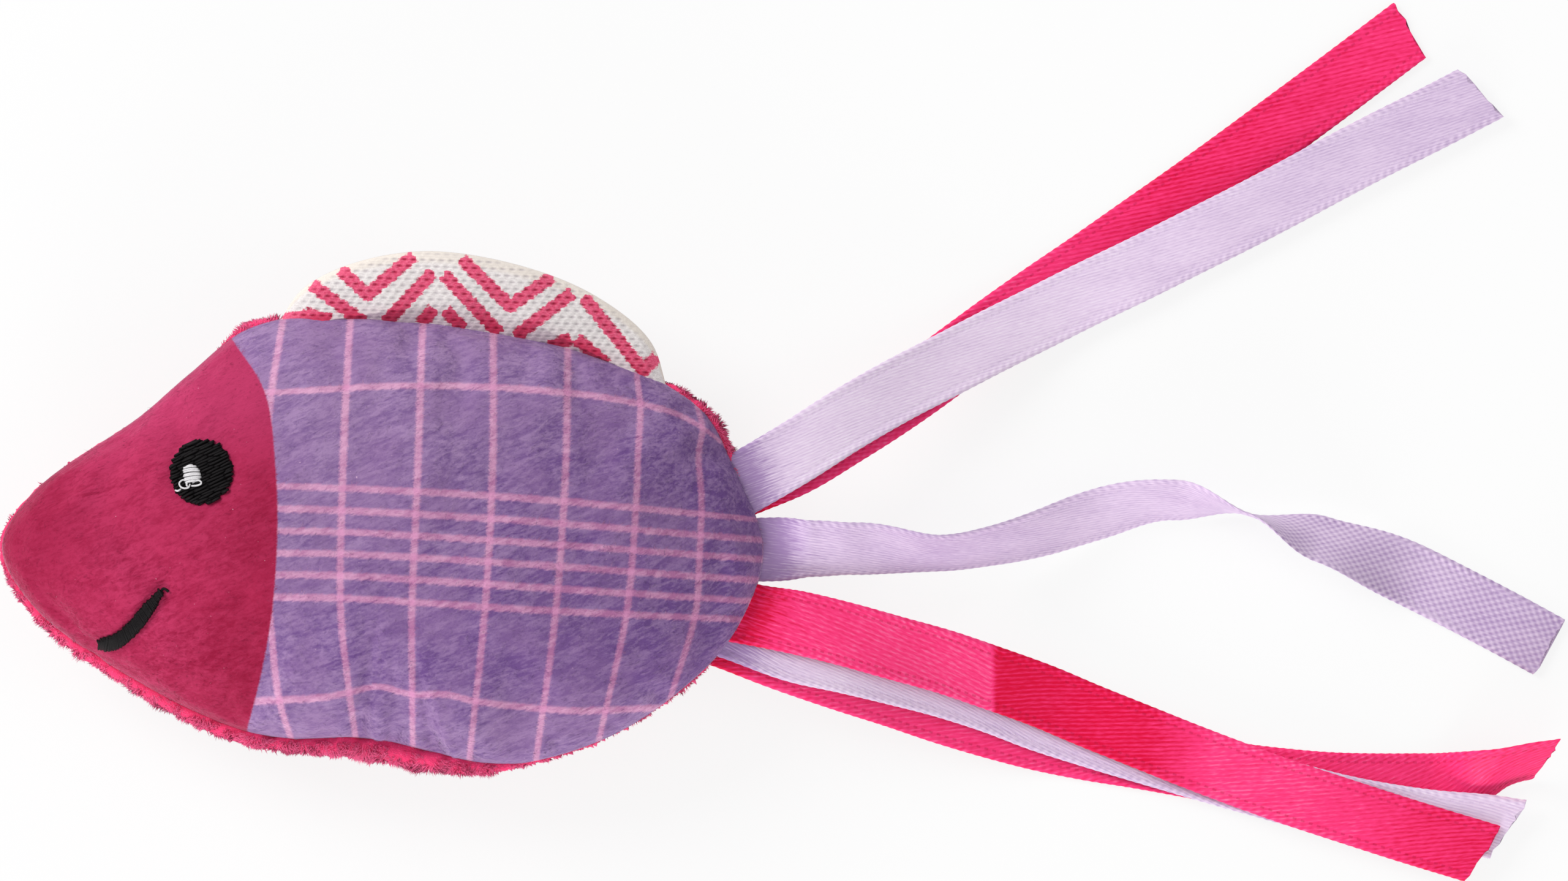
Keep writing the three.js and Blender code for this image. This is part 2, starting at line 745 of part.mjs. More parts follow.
const body = new THREE.Group();
body.add(
  namedMesh("front_panel", bodyPanel(1, frontSpokes(), FRONT_CROWN, FRONT_CLOTH, 0), 0x85689a, 0.95),
  namedMesh(
    "back_panel",
    bodyPanel(-1, bodySpokes, BACK_CROWN, BACK_CLOTH, REST_FLAT_DEPTH, plushRoll),
    0xe62d64,
    1,
  ),
  namedMesh("fibre_filling", filling(), 0xf4f2ec, 1),
  namedMesh("catnip_filling", herbLump(0), 0x6d7a45, 1),
  namedMesh("eye_patch", ovalPad(EYE_CENTRE, EYE_WIDTH, EYE_HEIGHT, eyeLow, eyeHigh), 0x141214, 0.6),
  namedMesh(
    "eye_highlight",
    ovalPad(HIGHLIGHT_CENTRE, HIGHLIGHT_WIDTH, HIGHLIGHT_HEIGHT, highlightLow, highlightHigh),
    0xe2dfe0,
    0.55,
  ),
  namedMesh("mouth_stitch", mouthLine(), 0x171416, 0.6),
  namedMesh("embroidery_backing", backingPad(0, 0), 0xf0efea, 0.9),
  namedMesh("body_seam_thread", threadAlong(seamLine, SEAM_STEPS), 0xa04a7c, 0.7),
  namedMesh("closing_thread", closingThread(), 0xc0507c, 0.7),
);

const finGroup = new THREE.Group();
finGroup.add(
  namedMesh("fin_front_cloth", finPanel(1), 0xeee4e2, 0.9),
  namedMesh("fin_back_cloth", finPanel(-1), 0xeee4e2, 0.9),
  namedMesh("fin_wadding", finWadding(), 0xf4f2ec, 1),
  namedMesh("fin_seam_thread", finThread(), 0xece6dc, 0.7),
);

const tail = new THREE.Group();
RIBBONS.forEach((plan) => tail.add(namedMesh(plan.name, ribbon(plan), plan.colour, 0.35)));

const fish = new THREE.Group();
fish.add(body, finGroup, tail);

export default fish;
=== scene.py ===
"""Looks of the catnip fish: velour front, plush back, canvas fin, stitched face and satin ribbon tail."""
import math

import bpy
import numpy as np
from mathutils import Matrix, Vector
from mathutils.bvhtree import BVHTree


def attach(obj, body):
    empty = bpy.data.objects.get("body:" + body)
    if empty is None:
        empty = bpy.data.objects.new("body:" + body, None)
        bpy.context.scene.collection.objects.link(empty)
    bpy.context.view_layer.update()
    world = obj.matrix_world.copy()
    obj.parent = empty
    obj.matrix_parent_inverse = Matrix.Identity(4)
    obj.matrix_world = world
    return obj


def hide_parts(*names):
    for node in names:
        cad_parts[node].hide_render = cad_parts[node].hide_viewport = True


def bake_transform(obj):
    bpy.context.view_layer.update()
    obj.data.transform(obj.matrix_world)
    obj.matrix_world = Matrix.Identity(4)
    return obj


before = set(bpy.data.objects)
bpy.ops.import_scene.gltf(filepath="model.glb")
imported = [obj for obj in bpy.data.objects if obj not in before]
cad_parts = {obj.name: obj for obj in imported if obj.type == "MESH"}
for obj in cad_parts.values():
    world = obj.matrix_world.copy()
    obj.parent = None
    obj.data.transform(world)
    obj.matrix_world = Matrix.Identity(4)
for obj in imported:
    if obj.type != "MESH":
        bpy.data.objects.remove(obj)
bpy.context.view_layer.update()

MM = 0.001
TAU = 2 * math.pi
TINY = 1e-9
RNG = np.random.default_rng(11)

# Measures are in millimetres, unless they say otherwise. Body, as in the solid model
BODY_EDGE = [
    (37.6, 0.2), (35.1, 7.5), (31.6, 14.2), (22.4, 19.2), (8, 22.5), (-6, 23.6),
    (-14.4, 22.6), (-20.5, 18), (-25.4, 13.8), (-36.2, 6.2), (-39.6, 0.6), (-36.6, -5.4), (-27, -12.6),
    (-15.2, -18.4), (-3, -19.7), (10, -21.8), (21.8, -18.8), (30.9, -12.5), (35.4, -7),
]
FRONT_CROWN, BACK_CROWN = 11.0, 10.0
FRONT_CLOTH, BACK_CLOTH = 1.2, 1.6
PILLOW_ROUND, PILLOW_FULL = 2.2, 0.6
REST_FLAT_DEPTH = 0.5
PLUSH_ROLL = 0.9
SEAM_GAP = 0.3
SEAM_ALLOWANCE = 4.6
SEAM_Z = BACK_CROWN - REST_FLAT_DEPTH + SEAM_GAP / 2
EDGE = SEAM_GAP / 2

# Fin
FIN_FRONT_X, FIN_REAR_X = -11.8, 28.2
FIN_TOP = [(26.4, 21.4), (21.2, 25.8), (13.6, 29), (3.6, 30.6), (-4.4, 29.2), (-9.2, 26.6)]
FIN_CROWN, FIN_CLOTH, FIN_GAP, FIN_TUCK = 2.4, 0.5, 0.55, 1.2

# Ribbons: the route that each takes, its turns in degrees by x, and how far its end is cut slantwise
RIBBON_WIDTH = 6.5
RIBBON_LAYER, RIBBON_ROOT_GAP, RIBBON_ROOT_TURN = 0.8, 0.4, 7.0
RIBBON_FALL, RIBBON_LIE = 36.0, 0.5
RIBBON_TUCK, RIBBON_SEAM_STEP, RIBBON_SPREAD = 1.8, 0.27, 4.0
RIBBONS = [
    dict(
        name="upper_pink", colour="pink", layer=0, root_y=6.9, slant=0.45,
        route=[(41.2, 9), (46.2, 12), (50, 14.4), (53.8, 17), (58.8, 20.7), (62.5, 23.4), (66.2, 26),
               (71.2, 29.4), (76.2, 32.9), (81.2, 36.4), (86.2, 40), (91.2, 43.7), (96.2, 47.4),
               (103.9, 53.2)],
    ),
    dict(
        name="upper_lilac", colour="lilac", layer=1, root_y=7.1, slant=-0.85,
        route=[(41.2, 10.1), (46.2, 13.3), (51.2, 16.2), (56.2, 18.8), (61.2, 21.4), (66.2, 23.9),
               (71.2, 26.4), (76.2, 28.8), (81.2, 31.3), (86.2, 33.8), (91.2, 36.4), (96.2, 39.1),
               (101.2, 41.7), (106.2, 44.2), (111.2, 46.8)],
    ),
    dict(
        name="middle_lilac", colour="lilac", layer=0, root_y=0.2,
        route=[(42.5, 0.3), (48.8, 0.3), (56.2, -0.1), (61.2, 0.7), (66.2, 1.9), (71.2, 3.5), (76.2, 4.9),
               (79.5, 5.2), (83.8, 4.7), (88.8, 3.4), (93.8, 1.6), (98.8, -0.2), (103.8, -2.3),
               (108.8, -4.8), (113.8, -7.4), (118.2, -9.8)],
        twist=[(38.5, 0), (43, 28), (47, 36), (56, 56), (72, 38), (80, 52), (87.5, 90), (95, 138),
               (106, 180)],
    ),
    dict(
        name="lower_pink_back", colour="pink", layer=0, root_y=-9.2, slant=1.85,
        route=[(41.2, -11.4), (46.2, -13.1), (51.2, -14.7), (56.2, -16.4), (61.2, -17.9), (66.2, -19.2),
               (71.2, -20.2), (76.2, -21), (81.2, -21.9), (86.2, -22.8), (91.2, -23.4), (96.2, -23.8),
               (103.8, -23.9), (108, -23.75), (112, -22.75), (115, -21.85), (117.8, -21.3)],
        twist=[(106, 0), (115, 54), (118.2, 57)],
    ),
    dict(
        name="lower_lilac", colour="lilac", layer=1, root_y=-8.2, slant=1.55,
        route=[(41.2, -10.1), (46.2, -11.2), (51.2, -12.4), (56.2, -13.7), (61.2, -15.3), (66.2, -17.2),
               (71.2, -18.8), (76.2, -20.3), (86.2, -23.2), (96.2, -25.9), (101.2, -26.9), (106.2, -27.6),
               (111.2, -28), (114, -28.4)],
        twist=[(98, 0), (109, 5), (114.5, 6)],
    ),
    dict(
        name="lower_pink_front", colour="pink", layer=2, root_y=-6.4, slant=0.95,
        route=[(41.2, -7.2), (46.2, -8.4), (51.2, -9.8), (56.2, -11.2), (61.2, -12.9), (66.2, -14.7),
               (71.2, -16.8), (76.2, -18.8), (81.2, -20.8), (86.2, -22.7), (91.2, -24.5), (98.8, -27),
               (103.8, -28.6), (111.4, -30.9)],
    ),
]

# Print on the velour: the lines of the plaid and the edge of the head
PLAID_UPRIGHTS = [
    [(-11.2, 22.5), (-12.4, 13.5), (-12.6, 0), (-12.1, -8.1), (-11.4, -14.7), (-10.3, -18.8)],
    [(-4.2, 23), (-4.8, 8.2), (-5, -6.2), (-4.2, -14), (-3.6, -19.1)],
    [(3.2, 22.6), (2.8, 8.2), (2.2, -6.2), (2.2, -11), (2.2, -19.4)],
    [(10.4, 21.8), (10.4, 8.2), (9.6, -6.2), (8, -20.6)],
    [(18, 19.4), (17.8, 8.2), (16.8, -6.2), (14.8, -21)],
    [(25.1, 17.6), (25.4, 14.9), (25.2, 10), (25, 4.9), (24, -6.2), (21.2, -19)],
    [(31.1, 14.9), (31.7, 12.6), (31.3, 9.9), (31.6, 5.5), (31.4, -0.4), (31, -6.2), (28.4, -15)],
]
PLAID_PITCH = 7.2
PLAID_LEVELS = [
    [(-12, 16.2), (3.2, 16.9), (17.6, 16.2), (26, 14.9), (29.3, 13.9), (31.7, 12.6), (32.9, 11.7)],
    [(-12, 6.7), (-4.8, 6.5), (13, 5.5), (31.2, 3.9)],
    [(-12, 4.4), (-4.8, 4.2), (13, 3.2), (31.2, 1.7)],
    [(-12, 2.1), (-4.8, 2), (13, 1), (31.2, -0.3)],
    [(-12, -0.1), (-4.8, -0.2), (13, -1.2), (31.2, -2.5)],
    [(-12, -2.3), (-4.8, -2.4), (13, -3.5), (31.2, -4.7)],
    [(-12, -4.6), (-4.8, -4.7), (13, -5.8), (31.2, -6.7)],
    [(-13.7, -15.2), (-6.9, -14.8), (-3.8, -14.2), (-1.3, -13.7), (2.2, -14.5), (5.6, -14.5), (8.8, -15.2),
     (15.9, -16), (19.4, -16.2), (22.3, -16.1)],
]
PLAID_LEVEL_PLACES = [16.6, 5.6, 3.4, 1.2, -1, -3.2, -5.4, -15.2]
PLAID_BAND_STEP, PLAID_BAND_LAST = 2.2, 5.0
PLAID_LINE = 0.52, 0.16
NAP_RISE = 0.35
GILL = [
    (-16.25, 21.7), (-12.8, 16.25), (-11.63, 8.25), (-11.44, 1.9), (-12, -6.1), (-13.2, -12.6),
    (-14.8, -18.6),
]

# Print on the canvas: chevron stripes
CHEVRONS = [
    [(-4.96, 28.48), (-2.41, 26.14), (2.01, 29.92)],
    [(-7.8, 26.98), (-3.12, 23.53)],
    [(-0.27, 23.63), (4.01, 28.15)],
    [(5.59, 27.98), (10.78, 22.46)],
    [(12.95, 22.12), (18.14, 26.14)],
    [(7.43, 29.55), (12.12, 24.97), (16.13, 27.81)],
    [(19.82, 25.64), (25.67, 18.44), (26.85, 19.61)],
    [(-10.65, 23.6), (-8.97, 24)],
    [(-8.3, 24.1), (-6.46, 23.7)],
    [(3.24, 23.46), (4.08, 24.47)],
    [(5.76, 24.3), (7.09, 22.96)],
    [(16.47, 20.95), (17.97, 21.62)],
    [(19.15, 21.45), (21.66, 19.28)],
]

# Face
EYE_CENTRE, EYE_WIDTH, EYE_HEIGHT = (-19.2, 8.1), 6.2, 6.5
MOUTH_LINE = [(-23.35, -4.1), (-24.7, -5.9), (-26.3, -7.85), (-28.1, -9.2), (-29.7, -9.5)]
MOUTH_WIDTH = 1.05

# Photograph, and the light in metres and watts: name, place, target, size and power of each lamp
PIXELS_PER_MM = 16
IMAGE_WIDTH, IMAGE_HEIGHT = 2560, 1438
ORIGIN_PIXEL = (640, 900)
LENS, SENSOR = 700.0, 36.0
FOCUS_Z = 5.0
WORLD_LIGHT = 0.5
LAMPS = [
    ("key", (-0.6, 0.45, 0.5), (0.03, 0.0, 0.0), 0.5, 6.4),
    ("fill", (0.75, -0.1, 0.55), (0.04, 0.0, 0.0), 0.4, 1.0),
    ("low", (-0.12, -0.75, 0.16), (0.03, 0.0, 0.0), 0.4, 4.3),
]
FLOOR_HALF, FLOOR_GREY, FLOOR_WHITENESS = 3.0, 0.86, 0.84


# Curves and fields


def centripetal(points, closed=False, per_span=48):
    """A smooth curve through points, with knots spaced by the square root of their distances."""
    points = np.asarray(points, float)
    if closed:
        padded = np.vstack([points[-1:], points, points[:2]])
    else:
        padded = np.vstack([2 * points[:1] - points[1:2], points, 2 * points[-1:] - points[-2:-1]])
    t = np.linspace(0, 1, per_span, endpoint=False)[:, None]
    parts = []
    for i in range(len(padded) - 3):
        p0, p1, p2, p3 = padded[i : i + 4]
        d0, d1, d2 = (max(np.linalg.norm(b - a), 1e-6) ** 0.5 for a, b in ((p0, p1), (p1, p2), (p2, p3)))
        m1 = ((p1 - p0) / d0 - (p2 - p0) / (d0 + d1) + (p2 - p1) / d1) * d1
        m2 = ((p2 - p1) / d1 - (p3 - p1) / (d1 + d2) + (p3 - p2) / d2) * d1
        parts.append(p1 + m1 * t + (3 * (p2 - p1) - 2 * m1 - m2) * t**2 + (2 * (p1 - p2) + m1 + m2) * t**3)
    if not closed:
        parts.append(points[-1:])
    return np.vstack(parts)


def lengths_along(curve):
    return np.concatenate([[0], np.cumsum(np.linalg.norm(np.diff(curve, axis=0), axis=1))])


def spaced(curve, count):
    """count points at equal distances along a curve, ends included."""
    along = lengths_along(curve)
    at = np.linspace(0, along[-1], count)
    return np.stack([np.interp(at, along, column) for column in curve.T], 1)


def smoothstep(x, low, high):
    t = np.clip((x - low) / (high - low), 0, 1)
    return t * t * (3 - 2 * t)


def unit(vectors):
    return vectors / np.maximum(np.linalg.norm(vectors, axis=-1, keepdims=True), TINY)


def square_to(vectors, normals):
    """How far each vector goes along its normal, as a vector."""
    return normals * (vectors * normals).sum(1)[:, None]


def turns(count):
    return np.arange(count) * TAU / count


def polar(reach, theta, z=0.0):
    return np.column_stack([reach * np.cos(theta), reach * np.sin(theta), np.broadcast_to(z, len(theta))])


def pole(z):
    return np.array([[0, 0, z]])


def from_table(table, places):
    return np.interp(places, *np.array(table, float).T)


def by_angle(table, theta):
    """A value from a table whose first column is an angle in degrees."""
    return from_table(table, np.degrees(theta) % 360)


def polar_reach(outline, middle):
    """The distance from middle to an outline, as a function of the angle."""
    arms = np.asarray(outline) - middle
    angle = np.arctan2(arms[:, 1], arms[:, 0])
    reach = np.linalg.norm(arms, axis=1)
    order = np.argsort(angle)
    return lambda theta: np.interp(theta, angle[order], reach[order], period=TAU)


body_reach = polar_reach(centripetal(BODY_EDGE, closed=True), (0, 0))


def swell(share):
    return (1 - np.clip(share, 0, 1) ** PILLOW_ROUND) ** PILLOW_FULL


def share_at_swell(height):
    return (1 - height ** (1 / PILLOW_FULL)) ** (1 / PILLOW_ROUND)


def plush_roll(theta):
    return PLUSH_ROLL * (1 - np.sin(theta)) / 2


LUMP_WAVES, LUMP_SIZE = 28, 1.3


def lumps(points, wavelength, seed):
    """A smooth random field of about -1 to 1 over points, with lumps about this far apart."""
    rng = np.random.default_rng(seed)
    directions = unit(rng.normal(size=(LUMP_WAVES, 3)))
    rates = TAU / (wavelength * rng.uniform(0.7, 1.6, LUMP_WAVES))
    phases = rng.uniform(0, TAU, LUMP_WAVES)
    waves = np.sin(points @ (directions * rates[:, None]).T + phases)
    return waves.sum(1) * (LUMP_SIZE / math.sqrt(LUMP_WAVES))


def uneven(points, *layers):
    """Lumps of several kinds added up, each with a size, a distance apart and a seed."""
    return sum(size * lumps(points, wavelength, seed) for size, wavelength, seed in layers)


def flat_points(x, y=0.0):
    return np.column_stack([x, np.broadcast_to(y, len(x)), np.zeros(len(x))])


# Meshes


def loft(rings):
    """Vertices and faces of a skin over rings of equally many points. A ring of one point is a tip."""
    starts = np.cumsum([0] + [len(ring) for ring in rings])
    faces = []
    for a, b, above, below in zip(starts, starts[1:], rings, rings[1:]):
        i = np.arange(max(len(above), len(below)))
        j = (i + 1) % len(i)
        if len(above) == 1:
            corners = [a + 0 * i, b + i, b + j]
        elif len(below) == 1:
            corners = [a + i, b + 0 * i, a + j]
        else:
            corners = [a + i, b + i, b + j, a + j]
        faces += np.stack(corners, 1).tolist()
    return np.vstack(rings), faces


def grid(rows, columns, around=False, across=True):
    """Points of each cell of a grid: its own, in the next row, diagonally from it and in the next column."""
    i, k = np.meshgrid(np.arange(rows - 1 + around), np.arange(columns - 1 + across), indexing="ij")
    j, n = (i + 1) % rows, (k + 1) % columns
    return [(row * columns + column).ravel() for row, column in ((i, k), (j, k), (j, n), (i, n))]


def piece(name, vertices, faces, materials, face_materials=None, normals=None):
    """A new mesh object from millimetres. A normal of no length leaves the mesh's own one."""
    mesh = bpy.data.meshes.new(name)
    mesh.from_pydata((np.asarray(vertices) * MM).tolist(), [], faces)
    mesh.validate()
    for material in materials if isinstance(materials, list) else [materials]:
        mesh.materials.append(material)
    if face_materials is not None:
        mesh.polygons.foreach_set("material_index", np.asarray(face_materials, np.int32))
    mesh.polygons.foreach_set("use_smooth", np.full(len(mesh.polygons), True))
    mesh.update()
    if normals is not None:
        mesh.normals_split_custom_set_from_vertices(normals.tolist())
    made = bpy.data.objects.new(name, mesh)
    bpy.context.scene.collection.objects.link(made)
    return made


def point_values(obj, name, values):
    attribute = obj.data.attributes.new(name, "FLOAT", "POINT")
    attribute.data.foreach_set("value", np.asarray(values, np.float32))


def flat_map(obj, name, places):
    """A UV map from one place for each vertex."""
    layer = obj.data.uv_layers.new(name=name)
    corner = np.zeros(len(obj.data.loops), np.int32)
    obj.data.loops.foreach_get("vertex_index", corner)
    layer.uv.foreach_set("vector", np.asarray(places, np.float32)[corner].ravel())


def tubes(paths, radii, sides=6):
    """Closed tubes along paths, each an array of points, as one list of vertices and faces."""
    vertices, faces, start = [], [], 0
    turn = turns(sides)[:, None]
    for path, radius in zip(paths, radii):
        tangent = unit(np.gradient(path, axis=0))
        up = np.array([0, 0, 1.0]) if abs(tangent[:, 2]).mean() < 0.9 else np.array([1.0, 0, 0])
        side = unit(np.cross(tangent, up))
        lift = np.cross(side, tangent)
        ring = side[:, None] * np.cos(turn) + lift[:, None] * np.sin(turn)
        vertices.append((path[:, None] + radius * ring).reshape(-1, 3))
        a, b, c, d = grid(len(path), sides)
        faces += (start + np.stack([a, d, c, b], 1)).tolist()
        faces.append((start + np.arange(sides)[::-1]).tolist())
        start += len(vertices[-1])
        faces.append((start - sides + np.arange(sides)).tolist())
    return np.vstack(vertices), faces


def remeshed(made, voxel):
    """Applies a voxel remesh. Returns the new mesh's points in metres."""
    remesh = made.modifiers.new("remesh", "REMESH")
    remesh.mode, remesh.voxel_size = "VOXEL", voxel
    bpy.context.view_layer.objects.active = made
    bpy.ops.object.modifier_apply(modifier="remesh")
    return np.array([v.co for v in made.data.vertices])


# Materials


def srgb(*levels):
    shares = [level / 255 for level in levels]
    return tuple(c / 12.92 if c <= 0.04045 else ((c + 0.055) / 1.055) ** 2.4 for c in shares) + (1.0,)


class Value:
    """A socket of a material. Arithmetic on it adds Math nodes."""

    def __init__(self, finish, socket):
        self.finish, self.socket = finish, socket

    def __add__(self, other):
        return self.finish.math("ADD", self, other)

    def __sub__(self, other):
        return self.finish.math("SUBTRACT", self, other)

    def __rsub__(self, other):
        return self.finish.math("SUBTRACT", other, self)

    def __mul__(self, other):
        return self.finish.math("MULTIPLY", self, other)

    def __truediv__(self, other):
        return self.finish.math("DIVIDE", self, other)

    def __abs__(self):
        return self.finish.math("ABSOLUTE", self)


class Finish:
    """A material and short ways to add nodes to it."""

    def __init__(self, name, roughness, **sockets):
        self.material = bpy.data.materials.new(name)
        self.material.use_nodes = True
        self.tree = self.material.node_tree
        self.shader = self.tree.nodes["Principled BSDF"]
        self.shader.inputs["Roughness"].default_value = roughness
        for socket, value in sockets.items():
            self.shader.inputs[socket.replace("_", " ")].default_value = value

    def put(self, socket, value):
        if isinstance(value, Value):
            self.tree.links.new(value.socket, socket)
        else:
            socket.default_value = value

    def add(self, kind, inputs=(), output=0, **settings):
        """A new node's output."""
        node = self.tree.nodes.new("ShaderNode" + kind)
        for key, value in settings.items():
            setattr(node, key, value)
        for key, value in dict(inputs).items():
            self.put(node.inputs[key], value)
        return Value(self, node.outputs[output])

    def math(self, operation, *values, clamp=False):
        return self.add("Math", enumerate(values), operation=operation, use_clamp=clamp)

    def sine(self, value):
        return self.math("SINE", value)

    def ease(self, value, low, high, to_low=0.0, to_high=1.0):
        ranges = {"Value": value, "From Min": low, "From Max": high, "To Min": to_low, "To Max": to_high}
        return self.add("MapRange", ranges, interpolation_type="SMOOTHSTEP")

    def mix(self, factor, a, b):
        return self.add("Mix", {0: factor, 6: a, 7: b}, output=2, data_type="RGBA", blend_type="MIX")

    def place(self):
        """Where a point is in the object's own space, in millimetres."""
        where = self.add("TexCoord", output="Object")
        return self.add("VectorMath", {0: where, "Scale": 1 / MM}, operation="SCALE")

    def vector(self, x, y, z=0.0):
        return self.add("CombineXYZ", {0: x, 1: y, 2: z})

    def noise(self, vector, scale, detail=2.0, roughness=0.5, distortion=0.0):
        inputs = {"Vector": vector, "Scale": scale, "Detail": detail, "Roughness": roughness}
        return self.add("TexNoise", {**inputs, "Distortion": distortion}, output="Fac")

    def stretched(self, vector, scale, rotation=(0, 0, 0)):
        return self.add("Mapping", {"Vector": vector, "Scale": scale, "Rotation": rotation})

    def streaks(self, vector, scale, detail, roughness, distortion=0.0):
        """Noise at a scale of its own along each axis."""
        return self.noise(self.stretched(vector, scale), 1.0, detail, roughness, distortion)

    def read(self, attribute):
        return self.add("Attribute", output="Fac", attribute_name=attribute)

    def parts(self, vector):
        outputs = self.add("SeparateXYZ", {0: vector}).socket.node.outputs
        return [Value(self, output) for output in outputs]

    def map(self, name):
        return self.parts(self.add("UVMap", uv_map=name))

    def colour(self, value):
        self.put(self.shader.inputs["Base Color"], value)

    def bump(self, height, distance, strength):
        inputs = {"Height": height, "Distance": distance * MM, "Strength": strength}
        self.put(self.shader.inputs["Normal"], self.add("Bump", inputs))


def velour():
    """Short pile with a printed head and plaid. The pile leans, so it shows streaks and patches."""
    f = Finish("printed_velour", 0.92, Sheen_Weight=0.55, Sheen_Roughness=0.32, Specular_IOR_Level=0.05)
    f.shader.inputs["Sheen Tint"].default_value = srgb(238, 214, 240)
    at = f.place()
    x, y, z = f.parts(at)
    nap = f.vector(x, y - x * NAP_RISE, z)
    fuzz = f.noise(at, 5.2, 3, 0.62)
    pile = f.streaks(nap, (1.2, 3.2, 3.2), 2, 0.55, 0.5)
    swirl = f.streaks(nap, (0.3, 0.8, 0.8), 2, 0.5, 0.8)
    patch = f.noise(at, 0.16, 2, 0.5)
    shade = pile * 0.42 + fuzz * 0.16 + swirl * 0.42 + (f.read("tone") - 0.5) * 0.05
    # Painted light and shade: lighter towards the upper left and at the bottom edge, darker towards the lower
    # right
    painted_light = f.ease(y * 0.8 - x * 0.6, -22.0, 22.0, -0.3, 0.26) + f.ease(y, -11.0, -19.0, 0.0, 0.4)
    shade = f.math("ADD", f.ease(shade, 0.3, 0.7), painted_light, clamp=True)
    # The print: how far from the nearest upright line and from the nearest level one
    u, v, _ = f.map("print")
    blur = (fuzz - 0.5) * 0.55
    u = u + blur / PLAID_PITCH
    v = v + (pile - 0.5) * 0.45
    upright = abs(u - f.math("ROUND", u)) * PLAID_PITCH
    first, band_top, last = PLAID_LEVEL_PLACES[0], PLAID_LEVEL_PLACES[1], PLAID_LEVEL_PLACES[-1]
    band = (band_top - v) / PLAID_BAND_STEP
    nearest = f.math("ROUND", f.math("MINIMUM", f.math("MAXIMUM", band, 0.0), PLAID_BAND_LAST))
    level = abs(band - nearest) * PLAID_BAND_STEP
    for single in (first, last):
        level = f.math("MINIMUM", level, abs(v - single))
    line_u, line_v = f.ease(upright, *PLAID_LINE), f.ease(level, *PLAID_LINE)
    violet = f.mix(shade, srgb(105, 74, 131), srgb(158, 128, 170))
    violet = f.mix(f.ease(patch, 0.38, 0.66, 0.0, 0.4), violet, srgb(142, 108, 154))
    pink = f.mix(shade, srgb(176, 112, 154), srgb(220, 164, 196))
    body = f.mix(f.math("MAXIMUM", line_u, line_v) * 0.84, violet, pink)
    body = f.mix(line_u * line_v * 0.5, body, srgb(224, 150, 192))
    gill = f.read("gill")
    crimson = f.mix(shade, srgb(135, 16, 51), srgb(180, 51, 91))
    crimson = f.mix(f.ease(gill, -12.0, -1.0, 0.0, 0.45), crimson, srgb(144, 24, 56))
    crimson = f.mix(f.ease(patch, 0.38, 0.66, 0.0, 0.3), crimson, srgb(174, 41, 80))
    # Painted shade: the head darker towards the nose
    crimson = f.mix(f.ease(gill, -15.0, -26.0, 0.0, 0.5), crimson, srgb(139, 22, 55))
    # Painted light: the head lighter towards its top
    crimson = f.mix(f.ease(y, 6.0, 16.0, 0.0, 0.35), crimson, srgb(197, 70, 119))
    colour = f.mix(f.ease(gill + blur * 0.45, -0.14, 0.14), crimson, body)
    speck = f.noise(at, 3.1, 1, 0.5)
    f.colour(f.mix(f.ease(speck, 0.79, 0.84, 0.0, 0.4), colour, srgb(250, 210, 230)))
    f.bump(pile * 0.8 + fuzz * 0.3, 0.12, 0.9)
    return f.material


def plush():
    """Longer pile: dark and saturated at the roots, paler at the tips."""
    f = Finish("pink_plush", 0.95, Sheen_Weight=0.55, Sheen_Roughness=0.6, Specular_IOR_Level=0.05)
    f.shader.inputs["Sheen Tint"].default_value = srgb(255, 120, 165)
    at = f.place()
    patch = f.noise(at, 0.5, 2)
    fibre = f.noise(at, 7.0, 2, 0.6)
    colour = f.mix(f.ease(f.read("tip"), 0.0, 1.0), srgb(252, 44, 104), srgb(255, 112, 160))
    colour = f.mix(f.ease(patch, 0.35, 0.75, 0.0, 0.4), colour, srgb(255, 66, 122))
    f.colour(f.mix(f.ease(fibre, 0.55, 0.8, 0.0, 0.5), colour, srgb(255, 140, 180)))
    f.bump(fibre, 0.15, 0.8)
    return f.material


def canvas():
    """Plain weave cotton with printed stripes, with painted shade in the weave's hollows where threads cross
    and towards the fin's base.
    """
    f = Finish("canvas", 0.88, Sheen_Weight=0.08, Specular_IOR_Level=0.2)
    at = f.place()
    thread = f.streaks(at, (3.0, 9.0, 9.0), 3, 0.6)
    fuzz = f.noise(at, 4.0, 2)
    # Painted shade: one mask darkens the weave's hollows, the other the fin towards its base
    painted_hollow_shade, base = f.read("painted_hollow_shade"), f.read("base")
    stripe = f.read("stripe") + (thread - 0.5) * 0.5
    cream = f.mix(f.ease(thread, 0.3, 0.7), srgb(222, 214, 213), srgb(244, 239, 237))
    cream = f.mix(f.ease(f.read("turned"), 0.0, 1.0, 0.0, 0.55), cream, srgb(234, 222, 206))
    # Painted shade towards the fin's base, where it tucks under the body's edge
    cream = f.mix(base * 0.6, cream, srgb(206, 180, 188))
    cream = f.mix(painted_hollow_shade * 0.65, cream, srgb(168, 158, 164))
    rose = f.mix(f.ease(thread, 0.3, 0.7), srgb(222, 70, 110), srgb(246, 116, 150))
    rose = f.mix(base * 0.75, rose, srgb(188, 30, 70))
    rose = f.mix(painted_hollow_shade * 0.95, rose, srgb(150, 10, 50))
    f.colour(f.mix(f.ease(stripe, 0.76, 0.58), cream, rose))
    f.bump(thread * 0.6 + fuzz * 0.4, 0.09, 0.8)
    return f.material


PICOT_RATE, BRICK_RATE, STITCH_ROW = 7.3, 8.5, 2.3


